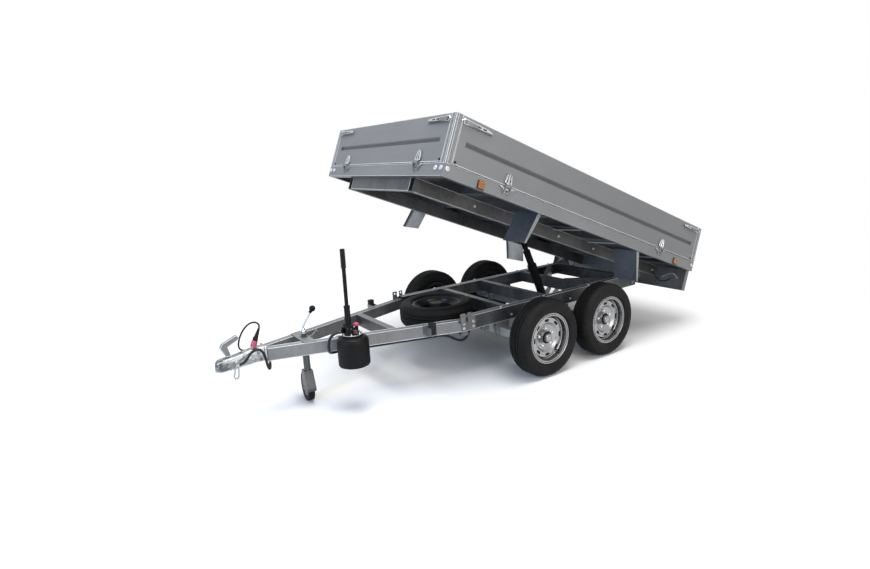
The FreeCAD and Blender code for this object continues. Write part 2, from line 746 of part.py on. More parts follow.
def make_frame_brackets():
    """Bed rests, lock lugs and the pump's mount: small plates welded to the frame."""
    rest_low = "rest_top - rest_height"
    shelf = plate("rest_shelf", "XY_Plane", [
        ("axles_x + rest_x - rest_length / 2",
         "drawbar_rear_outer - drawbar_slope * (rest_x - rest_length / 2 - rail_front)"),
        ("axles_x + rest_x + rest_length / 2", "rest_beam_y"),
        ("axles_x + rest_x + rest_length / 2", "beam_outer"),
        ("axles_x + rest_x - rest_length / 2", "beam_outer")], "rest_plate",
        ("0", "0", "%s - rest_plate" % rest_low))
    web = plate("rest_web", "YZ_Plane", [
        ("rest_beam_y + drawbar_slope * (rest_length + rest_plate) / 2", "drawbar_bottom + 4"),
        ("beam_outer", "%s - rest_plate" % rest_low),
        ("rest_beam_y + drawbar_slope * (rest_length + rest_plate) / 2", "%s - rest_plate" % rest_low)],
        "rest_plate", ("axles_x + rest_x - rest_plate / 2", "0", "0"))
    cheeks = []
    for name, x in (("rest_rear_cheek", "-rest_length / 2"), ("rest_front_cheek", "rest_length / 2 - 6")):
        cheeks.append(plate(name, "XY_Plane", [
            ("axles_x + rest_x + %s" % x,
             "drawbar_rear_outer - drawbar_slope * (rest_x + %s - rail_front)" % x),
            ("axles_x + rest_x + %s + 6" % x,
             "drawbar_rear_outer - drawbar_slope * (rest_x + %s + 6 - rail_front)" % x),
            ("axles_x + rest_x + %s + 6" % x, "beam_outer - 4"),
            ("axles_x + rest_x + %s" % x, "beam_outer - 4")], "rest_cheek", ("0", "0", rest_low)))
    rest = fuse("rest", shelf, web, *cheeks)
    lug_left = "axles_x + lock_x - lock_width / 2"
    lug_foot = box("lock_foot", ("lock_width", "lock_reach", "lock_plate"),
                   (lug_left, "rail_outer", "rail_top - 30"))
    lug_plate = box("lock_plate", ("lock_width", "lock_plate", "lock_top - rail_top + 30"),
                    (lug_left, "rail_outer + lock_reach - lock_plate", "rail_top - 30"))
    lug_hole = rod("lock_hole", "lock_hole_radius", "lock_reach",
                   ("axles_x + lock_x", "rail_outer + lock_reach - lock_plate - 4", "lock_top - 16"), "y")
    lug = cut("lock_lug", fuse("lock_angle", lug_foot, lug_plate), lug_hole)
    hasp_left = "axles_x + hasp_x - hasp_width / 2"
    hasp_foot = plate("hasp_foot", "XY_Plane", [
        (hasp_left, "drawbar_rear_outer - drawbar_slope * (hasp_x - hasp_width / 2 - rail_front)"),
        ("%s + hasp_width" % hasp_left,
         "drawbar_rear_outer - drawbar_slope * (hasp_x + hasp_width / 2 - rail_front)"),
        ("%s + hasp_width" % hasp_left, "rail_outer + lock_reach"),
        (hasp_left, "rail_outer + lock_reach")], "lock_plate", ("0", "0", "drawbar_top - 16"))
    hasp_plate = box("hasp_plate", ("hasp_width", "lock_plate", "lock_top - drawbar_top + 16"),
                     (hasp_left, "rail_outer + lock_reach - lock_plate", "drawbar_top - 16"))
    hasp_hole = rod("hasp_hole", "lock_hole_radius", "lock_reach",
                    ("axles_x + hasp_x", "rail_outer + lock_reach - lock_plate - 4", "lock_top - 18"), "y")
    hasp = cut("hasp", fuse("hasp_angle", hasp_foot, hasp_plate), hasp_hole)
    arm = plate("pump_arm", "XY_Plane", [
        ("pump_world_x - 45", "pump_beam_y + drawbar_slope * 45"),
        ("pump_world_x + 45", "pump_beam_y - drawbar_slope * 45"),
        ("pump_world_x + 45", "pump_y"), ("pump_world_x - 45", "pump_y")], "10",
        ("0", "0", "pump_bottom - 10"))
    upright = plate("pump_upright", "XY_Plane", [
        ("pump_world_x - 45", "pump_beam_y + drawbar_slope * 45"),
        ("pump_world_x + 45", "pump_beam_y - drawbar_slope * 45"),
        ("pump_world_x + 45", "pump_beam_y - drawbar_slope * 45 + 6"),
        ("pump_world_x - 45", "pump_beam_y + drawbar_slope * 45 + 6")],
        "drawbar_top - 10 - pump_bottom", ("0", "0", "pump_bottom"))
    mount = fuse("pump_mount", arm, upright)
    shackle = rod("safety_eye", "9", "12", ("axles_x + 2050", "44", "drawbar_bottom - 12"))
    grommet_y = "drawbar_rear_outer - drawbar_slope * (2030 - rail_front)"
    grommet = rod("cable_grommet", "10", "14", ("axles_x + 2030", "-(%s) - 14" % grommet_y, "412"), "y")
    beam_face = cut("cable_gland", grommet, document.getObject("beam_skin_twin"))
    node("frame_brackets", group("frame_brackets", rest, mirror(rest), lug, mirror(lug), hasp, mirror(hasp), mount,
                                 shackle, beam_face))
    rubber = box("rest_rubber", ("rest_length - 12", "rest_width", "rest_height"),
                 ("axles_x + rest_x - rest_length / 2 + 6", "beam_outer - rest_width", rest_low))
    node("rest_buffers", both("rest_buffers", rubber))


def make_cylinder_cradle():
    """Two plates under the middle cross member, which carry the cylinder's lower pin."""
    cheek = plate("cradle_cheek", "XZ_Plane", [
        ("axles_x - cross_middle_front - cross_width", "rail_bottom + rail_wall"),
        ("base_x - cradle_radius", "cylinder_base_height - cradle_radius"),
        ("base_x + cradle_radius", "cylinder_base_height - cradle_radius"),
        ("base_x + cradle_radius", "cylinder_base_height + cradle_radius"),
        ("axles_x - cross_middle_front", "rail_bottom + rail_wall")], "cradle_plate",
        ("0", "cradle_gap / 2 + cradle_plate", "0"))
    pin = rod("cradle_pin", "hinge_pin_radius", "cradle_gap + 2 * cradle_plate + 16",
              ("base_x", "-cradle_gap / 2 - cradle_plate - 8", "cylinder_base_height"), "y")
    fitting = rod("cradle_fitting", "9", "30",
                  ("base_x", "cradle_gap / 2 + cradle_plate + 8", "cylinder_base_height"), "y")
    node("cylinder_cradle", fuse("cylinder_cradle", cheek, mirror(cheek), pin, fitting))


# Tipping cylinder

def along_cylinder(label, piece):
    """Set a piece, drawn upright on the lower pin, along the tilted cylinder."""
    carried = group(label + "_placed", piece)
    place(carried, ("base_x", "0", "cylinder_base_height"), (0, 1, 0),
          "90 deg - atan2(cylinder_rise; cylinder_run)")
    return node(label, carried)


def make_cylinder():
    """A telescopic cylinder: a barrel on the lower pin, a stage and a rod with its eye."""
    foot = rod("barrel_foot", "cradle_radius - 4", "cradle_gap - 20",
               ("0", "-cradle_gap / 2 + 10", "0"), "y")
    barrel = rod("barrel_skin", "barrel_radius", "barrel_end - barrel_start + 16",
                 ("0", "0", "barrel_start - 16"))
    gland = rod("barrel_gland", "barrel_radius + 4", "26", ("0", "0", "barrel_end - 26"))
    bore = rod("barrel_hole", "barrel_bore", "barrel_end", ("0", "0", "barrel_start + 12"))
    pin_hole = rod("barrel_pin_hole", "hinge_pin_radius + hinge_clearance", "cradle_gap + 20",
                   ("0", "-cradle_gap / 2 - 10", "0"), "y")
    along_cylinder("cylinder_barrel",
                   cut("barrel", fuse("barrel_body", foot, barrel, gland), bore, pin_hole))
    stage = rod("stage_skin", "stage_radius", "stage_end - stage_start", ("0", "0", "stage_start"))
    stage_gland = rod("stage_gland", "stage_radius + 2", "10", ("0", "0", "stage_end - 10"))
    stage_hole = rod("stage_hole", "stage_bore", "stage_end", ("0", "0", "stage_start + 10"))
    along_cylinder("cylinder_stage", cut("stage", fuse("stage_body", stage, stage_gland), stage_hole))
    rod_bar = rod("rod_bar", "rod_radius", "eye_distance - rod_start", ("0", "0", "rod_start"))
    eye = rod("rod_eye", "eye_radius", "eye_width", ("0", "-eye_width / 2", "eye_distance"), "y")
    stub = rod("eye_stub", "hinge_pin_radius", "eye_plate_gap - 12",
               ("0", "-eye_plate_gap / 2 + 6", "eye_distance"), "y")
    along_cylinder("cylinder_rod", fuse("rod_with_eye", rod_bar, eye, stub))


# Jockey wheel

def make_jockey():
    """A jockey wheel: a clamped tube with its crank, a sliding leg, a swivel fork and a wheel."""
    centre = ("jockey_world_x", "0")
    upper = plate("clamp_plate", "XY_Plane", [
        ("jockey_world_x - 28", "-(jockey_beam_y + drawbar_slope * 28)"),
        ("jockey_world_x + 46", "-(jockey_beam_y - drawbar_slope * 46)"),
        ("jockey_world_x + 46", "jockey_beam_y - drawbar_slope * 46"),
        ("jockey_world_x - 28", "jockey_beam_y + drawbar_slope * 28")], "6",
        ("0", "0", "drawbar_top"))
    collar = rod("clamp_collar", "clamp_radius", "clamp_height", centre + ("drawbar_top - clamp_height",))
    hole = rod("clamp_hole", "jockey_tube_radius", "4 * clamp_height",
               centre + ("drawbar_top - 2 * clamp_height",))
    lip = box("clamp_lip", ("30", "18", "clamp_height"),
              ("jockey_world_x - clamp_radius - 24", "-9", "drawbar_top - clamp_height"))
    screw = rod("clamp_screw", "6", "60", ("0", "0", "0"))
    handle = rod("clamp_handle", "6", "56", ("0", "-28", "60"), "y")
    screwed = group("clamp_screwed", fuse("clamp_key", screw, handle))
    place(screwed, ("jockey_world_x - clamp_radius - 12", "0", "drawbar_top - 12"), (0, 1, 0), "-48")
    node("jockey_clamp", cut("jockey_clamp", fuse("clamp_body", upper, collar, lip, screwed), hole))
    tube = rod("jockey_skin", "jockey_tube_radius", "drawbar_top + 8 - jockey_tube_bottom",
               centre + ("jockey_tube_bottom",))
    neck = rod("jockey_neck", "jockey_neck_radius", "jockey_tube_top - drawbar_top",
               centre + ("drawbar_top",))
    tube_hole = rod("jockey_hole", "jockey_tube_bore", "drawbar_top - jockey_tube_bottom",
                    centre + ("jockey_tube_bottom",))
    node("jockey_tube", cut("jockey_tube", fuse("jockey_stepped", tube, neck), tube_hole))
    make_crank()
    leg = rod("leg_skin", "jockey_leg_radius", "jockey_leg_top - jockey_crown_top",
              centre + ("jockey_crown_top",))
    leg_hole = rod("leg_hole", "jockey_leg_bore", "jockey_leg_top",
                   centre + ("jockey_crown_top + 12",))
    node("jockey_leg", cut("jockey_leg", leg, leg_hole))
    make_jockey_fork()


def make_crank():
    """The jockey wheel's crank: a bent round bar with a ball knob."""
    top = SIZES["jockey_tube_top"]
    x = SIZES["axles_x"] + SIZES["jockey_x"]
    knob = Vector(SIZES["axles_x"] + SIZES["crank_knob_x"], 0, SIZES["crank_knob_height"])
    elbow = Vector(x, 0, top + SIZES["crank_spindle"])
    path = Part.Wire(rounded_path([Vector(x, 0, top), elbow, knob], 0.3))
    circle = Part.Circle(Vector(x, 0, top), Vector(0, 0, 1), SIZES["crank_radius"])
    bar = path.makePipeShell([Part.Wire(circle.toShape())], True, False)
    piece = document.addObject("Part::Feature", "crank_bar")
    piece.Shape = bar
    tip = ball("crank_ball", "crank_knob_radius",
               ("axles_x + crank_knob_x", "0", "crank_knob_height"))
    base = rod("crank_base", "jockey_neck_radius + 2", "10",
               ("jockey_world_x", "0", "jockey_tube_top"))
    node("jockey_crank", fuse("jockey_crank", piece, tip, base))


def swivelled(label, piece):
    """Set a piece, drawn with its wheel trailing along -X, at the jockey wheel's swivel angle."""
    carried = group(label + "_placed", piece)
    place(carried, ("jockey_world_x", "0", "0"), (0, 0, 1), "jockey_turn")
    return node(label, carried)


def make_jockey_fork():
    """The trailing fork and its wheel, drawn along X and then turned on the swivel."""
    crown = box("fork_crown", ("66", "2 * jockey_half + 2 * fork_plate", "jockey_crown"),
                ("-jockey_trail - 4", "-jockey_half - fork_plate", "jockey_crown_top - jockey_crown"))
    cheek = plate("fork_cheek", "XZ_Plane", [
        ("-jockey_trail - 4", "jockey_crown_top"),
        ("-jockey_trail - fork_width / 2", "jockey_wheel_radius - 18"),
        ("-jockey_trail + fork_width / 2", "jockey_wheel_radius - 18"),
        ("jockey_wheel_radius - jockey_trail + 10", "jockey_wheel_radius - 5"),
        ("jockey_wheel_radius - jockey_trail + 10", "jockey_wheel_radius + 15"),
        ("24", "jockey_crown_top")], "fork_plate", ("0", "jockey_half + fork_plate", "0"))
    web = plate("fork_web", "XZ_Plane", [
        ("jockey_wheel_radius - jockey_trail + 6", "jockey_wheel_radius - 5"),
        ("jockey_wheel_radius - jockey_trail + 10", "jockey_wheel_radius - 5"),
        ("jockey_wheel_radius - jockey_trail + 10", "jockey_wheel_radius + 15"),
        ("24", "jockey_crown_top"), ("19", "jockey_crown_top"),
        ("jockey_wheel_radius - jockey_trail + 6", "jockey_wheel_radius + 13")],
        "2 * jockey_half + 2", ("0", "jockey_half + 1", "0"))
    axle = rod("fork_axle", "6", "2 * jockey_half + 2 * fork_plate + 12",
               ("-jockey_trail", "-jockey_half - fork_plate - 6", "jockey_wheel_radius"), "y")
    swivelled("jockey_fork", fuse("fork_body", crown, cheek, mirror(cheek), web, axle))
    width = "jockey_wheel_width"
    skin = rod("jockey_skin_tyre", "jockey_wheel_radius", width, ("0", "0", "-jockey_wheel_width / 2"))
    seat = rod("jockey_seat", "jockey_rim_radius + 0.2", "2 * jockey_wheel_width",
               ("0", "0", "-jockey_wheel_width"))
    tyre = group("jockey_tyre_upright", cut("jockey_ring", skin, seat))
    place(tyre, ("-jockey_trail", "0", "jockey_wheel_radius"), (1, 0, 0), "-90")
    swivelled("jockey_tyre", tyre)
    disc = turned("jockey_disc", [
        ("6.1", "-jockey_half + 1"), ("16", "-jockey_half + 1"), ("18", "-8"),
        ("jockey_rim_radius - 10", "-5"), ("jockey_rim_radius - 4", "-jockey_wheel_width / 2 + 4"),
        ("jockey_rim_radius", "-jockey_wheel_width / 2 + 4"),
        ("jockey_rim_radius", "jockey_wheel_width / 2 - 4"),
        ("jockey_rim_radius - 4", "jockey_wheel_width / 2 - 4"), ("jockey_rim_radius - 10", "5"),
        ("18", "8"), ("16", "jockey_half - 1"), ("6.1", "jockey_half - 1")])
    upright = place(group("jockey_rim_upright", disc),
                    ("-jockey_trail", "0", "jockey_wheel_radius"), (1, 0, 0), "-90")
    swivelled("jockey_rim", upright)


# Spare wheel

def make_spare():
    """A spare wheel laid flat with its back up, on two bars hung under the rails."""
    middle = ("axles_x + spare_x", "0", "spare_bottom + tyre_width / 2")
    make_tyre("spare_tyre", middle, (1, 0, 0), "180")
    make_rim("spare_rim", middle, (1, 0, 0), "180", False)
    bars = []
    for name, x in (("front_carrier", "carrier_front_x"), ("rear_carrier", "carrier_rear_x")):
        left = "axles_x + %s - carrier_width / 2" % x
        bar = box(name + "_bar", ("carrier_width", "2 * rail_outer - rail_width", "carrier_thickness"),
                  (left, "-rail_outer + rail_width / 2", "spare_bottom - carrier_thickness"))
        post = box(name + "_post", ("carrier_width", "carrier_post", "rail_bottom - spare_bottom"),
                   (left, "rail_outer - rail_width / 2 - carrier_post", "spare_bottom"))
        bars.append(fuse(name, bar, post, mirror(post)))
    node("spare_carrier", group("spare_carrier", *bars))


# Hand pump

def make_pump():
    """A hand pump: a round reservoir, a head with a release knob, and a long lever."""
    profile = [
        ("0", "pump_bottom"), ("pump_radius - 8", "pump_bottom"), ("pump_radius", "pump_bottom + 8"),
        ("pump_radius", "pump_shoulder - 22"), ("pump_radius - 10", "pump_shoulder - 6"),
        ("pump_radius - 30", "pump_shoulder"), ("0", "pump_shoulder")]
    reservoir = turned("reservoir_body", profile)
    place(reservoir, ("pump_world_x", "pump_y", "0"))
    node("pump_reservoir", group("pump_reservoir", reservoir))
    collar = rod("pump_collar", "pump_radius - 36", "16", ("pump_world_x", "pump_y", "pump_shoulder"))
    block = box("pump_block", ("pump_head_length", "pump_head_width", "pump_head_height - 16"),
                ("pump_head_x - pump_head_length / 2", "pump_y - pump_head_width / 2",
                 "pump_shoulder + 16"))
    slot = box("pump_slot", ("pump_head_length + 20", "2 * socket_radius + 12", "40"),
               ("pump_head_x - pump_head_length / 2 - 10", "pump_y - socket_radius - 6",
                "pump_head_top - 32"))
    pin = rod("pump_pin", "8", "pump_head_width - 10",
              ("pump_head_x", "pump_y - pump_head_width / 2 + 5", "pump_head_top - 4"), "y")
    port = rod("pump_port", "10", "20",
               ("pump_head_x + pump_head_length / 2 - 1", "pump_y - 30", "pump_shoulder + 34"), "x")
    cheek = box("pump_cheek", ("40", "10", "30"),
                ("pump_head_x - 20", "pump_y - socket_radius - 16", "pump_head_top - 12"))
    twin_cheek = box("pump_twin_cheek", ("40", "10", "30"),
                     ("pump_head_x - 20", "pump_y + socket_radius + 6", "pump_head_top - 12"))
    stalk = rod("knob_stalk", "12", "58", ("pump_head_x - 42", "pump_y + 27", "pump_shoulder + 8"))
    node("pump_head", fuse("pump_head", collar, cut("pump_slotted", block, slot), pin, port,
                           cheek, twin_cheek, stalk))
    knob = rod("knob_body", "pump_knob_radius", "24",
               ("pump_head_x - 42", "pump_y + 27", "pump_shoulder + 66"))
    node("pump_knob", group("pump_knob", knob))
    low = rod("lever_boss", "socket_radius + 2", "2 * socket_radius - 8", ("0", "4 - socket_radius", "0"), "y")
    sleeve = rod("lever_sleeve", "socket_radius", "lever_socket_length", ("0", "0", "12"))
    bar = rod("lever_bar", "lever_radius", "lever_rise", ("0", "0", "40"))
    grip = rod("lever_grip", "grip_radius", "grip_length", ("0", "0", "lever_rise + 40 - grip_length + 6"))
    pin_hole = rod("lever_hole", "8.1", "4 * socket_radius", ("0", "-2 * socket_radius", "0"), "y")
    lever = group("lever_placed", cut("lever_bored", fuse("lever_body", low, sleeve, bar, grip), pin_hole))
    place(lever, ("pump_head_x", "pump_y", "pump_head_top - 4"), (0, 1, 0), "lever_lean")
    node("pump_lever", lever)


# Bed

def make_bed_floor():
    """The steel floor, laid between the tray's side and end rails."""
    floor = box("floor_sheet", ("bed_length - 2 * tray_flange", "bed_width - 2 * tray_flange",
                                "floor_thickness"),
                ("-bed_rear + tray_flange", "-half_bed + tray_flange", "tray_top - floor_thickness"))
    on_bed("bed_floor", floor)


def hinge_lugs(name, points):
    """Pairs of pin lugs on the outside of a rail, at named places along it. They are drawn for the
    left rail, with X along it, and points are the middles of the hinges."""
    pieces = []
    outside = "board_pin_out + knuckle_radius"
    for index, x in enumerate(points):
        for end, start in (("a", "%s - knuckle_width / 2 - 2 - hinge_lug_width" % x),
                           ("b", "%s + knuckle_width / 2 + 2" % x)):
            cheek = plate("%s_lug%d%s" % (name, index, end), "YZ_Plane", [
                ("0", "tray_top - hinge_lug_drop"),
                (outside, "tray_top - knuckle_radius"),
                (outside, "tray_top + knuckle_radius"),
                ("0", "tray_top - 2")], "hinge_lug_width", (start, "0", "0"))
            pieces.append(cheek)
        pin = rod("%s_pin%d" % (name, index), "board_pin_radius",
                  "knuckle_width + 2 * hinge_lug_width + 10",
                  ("%s - knuckle_width / 2 - hinge_lug_width - 5" % x, "board_pin_out", "tray_top"), "x")
        pieces.append(pin)
        foot = plate("%s_foot%d" % (name, index), "XZ_Plane", [
            ("-hinge_foot_width / 2", "tray_top - 10"), ("-28", "tray_top - hinge_foot_height - 10"),
            ("28", "tray_top - hinge_foot_height - 10"), ("hinge_foot_width / 2", "tray_top - 10"),
            ("hinge_foot_width / 2", "tray_top - 4"), ("-hinge_foot_width / 2", "tray_top - 4")],
            "3", (x, "3", "0"))
        pieces.append(foot)
    return pieces


def rail_section(name, length):
    """A channel rail along X with its web on the outside at Y=0 and its flanges inward."""
    return plate(name, "YZ_Plane", [
        ("-tray_flange", "tray_bottom"), ("0", "tray_bottom"), ("0", "tray_top"),
        ("-tray_flange", "tray_top"), ("-tray_flange", "tray_top - tray_wall"),
        ("-tray_wall", "tray_top - tray_wall"), ("-tray_wall", "tray_bottom + tray_wall"),
        ("-tray_flange", "tray_bottom + tray_wall")], length)


def make_tray_rails():
    """The tray's four outer rails, with the lugs and pins of the boards' hinges welded on."""
    side = rail_section("side_channel", "bed_length - 2 * tray_flange")
    place(side, ("-bed_rear + tray_flange", "0", "0"))
    left = group("left_side", fuse("side_rail", side, *hinge_lugs(
        "side", ("side_strap_front", "side_strap_rear"))))
    place(left, ("0", "half_bed", "0"))
    on_bed("tray_side_rails", both("side_rails", left))
    ends = []
    for name, at, angle in (("front_end", ("bed_front", "0", "0"), "-90"),
                            ("rear_end", ("-bed_rear", "0", "0"), "90")):
        bar = rail_section(name + "_channel", "bed_width")
        place(bar, ("-half_bed", "0", "0"))
        caps = []
        for side, x in (("near", "-half_bed"), ("far", "half_bed - tray_wall")):
            caps.append(box("%s_%s_cap" % (name, side), ("tray_wall", "tray_flange", "tray_height"),
                            (x, "-tray_flange", "tray_bottom")))
        rail = group(name, fuse(name + "_rail", bar, *caps,
                                *hinge_lugs(name, ("end_strap_y", "-end_strap_y"))))
        place(rail, at, (0, 0, 1), angle)
        ends.append(rail)
    on_bed("tray_end_rails", group("end_rails", *ends))


def make_bed_beams():
    """Two box beams under the tray, each with the lug that turns on its hinge pin, and a nose plate."""
    length = "bed_length - beam_front_gap - light_panel_wall"
    skin = box("bed_beam_skin", (length, "beam_width", "tray_bottom - beam_bottom"),
               ("light_panel_wall - bed_rear", "beam_outer - beam_width", "beam_bottom"))
    hollow = box("bed_beam_hollow", ("%s + 20" % length, "beam_width - 2 * beam_wall",
                                     "tray_bottom - beam_bottom - 2 * beam_wall"),
                 ("-bed_rear - 10", "beam_outer - beam_width + beam_wall", "beam_bottom + beam_wall"))
    lug_inner = "rail_inner + rail_width / 2 - lug_width / 2"
    web = box("lug_web", ("2 * lug_radius", "lug_width", "beam_bottom"), ("-lug_radius", lug_inner, "0"))
    boss = rod("lug_boss", "lug_radius", "lug_width", ("0", lug_inner, "0"), "y")
    hole = rod("lug_hole", "hinge_pin_radius + hinge_clearance", "lug_width + 20",
               ("0", "%s - 10" % lug_inner, "0"), "y")
    lug = cut("hinge_lug", fuse("lug_body", web, boss), hole)
    beam = fuse("bed_beam", cut("bed_beam_tube", skin, hollow), lug)
    on_bed("bed_beams", both("bed_beam_pair", beam))


def make_bed_bearers():
    """Cross bearers from side rail to side rail, the cylinder's eye plates and the nose panel."""
    inside = "half_bed - tray_wall"
    height = "tray_height - floor_thickness"
    bearers = []
    places = ("-bed_rear + 260", "eye_x - eye_plate_span / 2 - bearer_width", "eye_x + eye_plate_span / 2",
              "bed_front - 860", "bed_front - 420")
    for index, x in enumerate(places):
        name = "bearer%d" % index
        web_height = "%s - tray_wall" % height
        outer = box(name + "_skin", ("bearer_width", "2 * (%s)" % inside, web_height),
                    (x, "-(%s)" % inside, "tray_bottom + tray_wall"))
        notch = box(name + "_notch", ("bearer_width + 20", "tray_flange", web_height),
                    ("%s - 10" % x, "half_bed - tray_flange", "tray_top - tray_wall"))
        foot = box(name + "_foot", ("bearer_width", "2 * (half_bed - tray_flange)", "tray_wall"),
                   (x, "-half_bed + tray_flange", "tray_bottom"))
        open_side = box(name + "_open", ("bearer_width - bearer_wall", "2 * (%s) + 20" % inside,
                                         "%s - 2 * bearer_wall" % height),
                        ("%s + bearer_wall" % x, "-(%s) - 10" % inside, "tray_bottom + bearer_wall"))
        bearers.append(cut(name, fuse(name + "_body", outer, foot), open_side, notch, mirror(notch)))
    cheek = plate("eye_cheek", "XZ_Plane", [
        ("eye_x - eye_plate_span / 2", "tray_bottom"), ("eye_x - 46", "eye_height - 34"),
        ("eye_x + 46", "eye_height - 34"), ("eye_x + eye_plate_span / 2", "tray_bottom"),
        ("eye_x + eye_plate_span / 2", "tray_top - floor_thickness"),
        ("eye_x - eye_plate_span / 2", "tray_top - floor_thickness")], "cradle_plate",
        ("0", "eye_plate_gap / 2 + cradle_plate", "0"))
    hole = rod("eye_hole", "hinge_pin_radius + 1", "40",
               ("eye_x", "eye_plate_gap / 2 - 10", "eye_height"), "y")
    eye_plate = cut("eye_plate", cheek, hole)
    nose = box("nose_panel", ("4", "2 * (beam_outer - beam_width)", "nose_plate_drop"),
               ("bed_front - beam_front_gap - 4", "-beam_outer + beam_width",
                "tray_bottom - nose_plate_drop"))
    lip = box("nose_lip", ("30", "2 * (beam_outer - beam_width)", "4"),
              ("bed_front - beam_front_gap - 34", "-beam_outer + beam_width",
               "tray_bottom - nose_plate_drop"))
    on_bed("bed_bearers", group("bearer_set", *bearers, eye_plate, mirror(eye_plate),
                                fuse("nose_piece", nose, lip)))


def make_corner_posts():
    """Angle-section posts in the tray's corners."""
    posts = []
    for end, x, hollow_x in (("front", "bed_front - post_size", "bed_front - post_size - post_wall"),
                             ("rear", "-bed_rear", "-bed_rear + post_wall")):
        name = end + "_post"
        solid = box(name + "_skin", ("post_size", "post_size", "board_height + board_gap"),
                    (x, "half_bed - post_size", "tray_top"))
        hollow = box(name + "_hollow", ("post_size", "post_size", "board_height + board_gap + 20"),
                     (hollow_x, "half_bed - post_size - post_wall", "tray_top - 10"))
        post = cut(name, solid, hollow)
        posts.extend([post, mirror(post)])
    on_bed("corner_posts", group("post_set", *posts))


def make_board(label, half_length, straps, latches, at, angle):
    """A drop board with a pressed groove, drawn along X with its outer face at Y=0, and its fittings:
    hinge straps with knuckles around the rail's pins, and latches near its ends."""
    length = "2 * (%s)" % half_length
    skin = box(label + "_skin", (length, "board_thickness", "board_height"),
               ("-(%s)" % half_length, "-board_thickness", "board_bottom"))
    channel = plate(label + "_channel", "YZ_Plane", [
        ("5", "board_bottom + groove_rise"), ("0", "board_bottom + groove_rise"),
        ("-groove_depth", "board_bottom + groove_rise + 8"),
        ("-groove_depth", "board_bottom + groove_rise + groove_height - 8"),
        ("0", "board_bottom + groove_rise + groove_height"),
        ("5", "board_bottom + groove_rise + groove_height")], "%s - 2 * groove_margin" % length,
        ("-(%s) + groove_margin" % half_length, "0", "0"))
    lower = box(label + "_fold", ("%s + 20" % length, "board_thickness - 2 * board_wall - groove_depth",
                                  "18"),
                ("-(%s) - 10" % half_length, "-board_thickness + board_wall", "board_bottom + board_wall"))
    board = group(label + "_placed", cut(label + "_panel", skin, channel, lower))
    place(board, at, (0, 0, 1), angle)
    on_bed(label, board)
    fittings = []
    for index, x in enumerate(straps):
        name = "%s_strap%d" % (label, index)
        leaf = plate(name + "_leaf", "XZ_Plane", [
            ("-knuckle_width / 2", "board_pin_radius + 4"), ("knuckle_width / 2", "board_pin_radius + 4"),
            ("knuckle_width / 2", "strap_neck"), ("strap_width / 2", "strap_neck + 8"),
            ("24", "strap_height"), ("-24", "strap_height"), ("-strap_width / 2", "strap_neck + 8"),
            ("-knuckle_width / 2", "strap_neck")], "strap_thickness", (x, "strap_thickness", "tray_top"))
        knuckle = rod(name + "_knuckle", "knuckle_radius", "knuckle_width",
                      ("%s - knuckle_width / 2" % x, "board_pin_out", "tray_top"), "x")
        hole = rod(name + "_hole", "board_pin_radius + board_pin_clearance", "knuckle_width + 20",
                   ("%s - knuckle_width / 2 - 10" % x, "board_pin_out", "tray_top"), "x")
        bridge = box(name + "_bridge", ("knuckle_width", "board_pin_out", "knuckle_radius"),
                     ("%s - knuckle_width / 2" % x, "0.3", "tray_top + board_gap - 1"))
        fittings.append(cut(name, fuse(name + "_body", leaf, bridge, knuckle), hole))
    for index, (x, turn) in enumerate(latches):
        name = "%s_latch%d" % (label, index)
        back = box(name + "_back", ("latch_length", "4", "latch_height"),
                   ("%s - latch_length / 2" % x, "0", "board_top - latch_drop"))
        lever = plate(name + "_lever", "XY_Plane", [
            ("%s - latch_length / 2 + 6" % x, "4"), ("%s + latch_length / 2 - 6" % x, "4"),
            ("%s + %d * (latch_length / 2 - 6)" % (x, turn), "17.4"),
            ("%s + %d * (latch_length / 2 - 60)" % (x, turn), "17.4"),
            ("%s - %d * (latch_length / 2 - 6)" % (x, turn), "9")], "latch_height - 12",
            ("0", "0", "board_top - latch_drop + 6"))
        fittings.append(fuse(name, back, lever))
    carried = group(label + "_fittings_placed", *fittings)
    place(carried, at, (0, 0, 1), angle)
    on_bed(label + "_fittings", carried)


def make_boards():
    """The four drop boards. Between the posts, each is clear of its neighbours by the board gap."""
    middle = "(bed_front - bed_rear) / 2"
    side_half = "bed_length / 2 - post_size - board_gap"
    end_half = "half_bed - post_size - board_gap"
    side_latch = "%s - latch_length / 2 - 4" % side_half
    end_latch = "%s - latch_length / 2 - 4" % end_half
    make_board("board_left", side_half,
               ("side_strap_front - %s" % middle, "side_strap_rear - %s" % middle),
               ((side_latch, 1), ("-(%s)" % side_latch, -1)), (middle, "half_bed", "0"), "0")
    make_board("board_right", side_half,
               ("-side_strap_front + %s" % middle, "-side_strap_rear + %s" % middle),
               ((side_latch, 1), ("-(%s)" % side_latch, -1)), (middle, "-half_bed", "0"), "180")
    make_board("board_front", end_half, ("end_strap_y", "-end_strap_y"),
               ((end_latch, 1), ("-(%s)" % end_latch, -1)), ("bed_front", "0", "0"), "-90")
    make_board("board_tail", end_half, ("end_strap_y", "-end_strap_y"),
               ((end_latch, 1), ("-(%s)" % end_latch, -1)), ("-bed_rear", "0", "0"), "90")


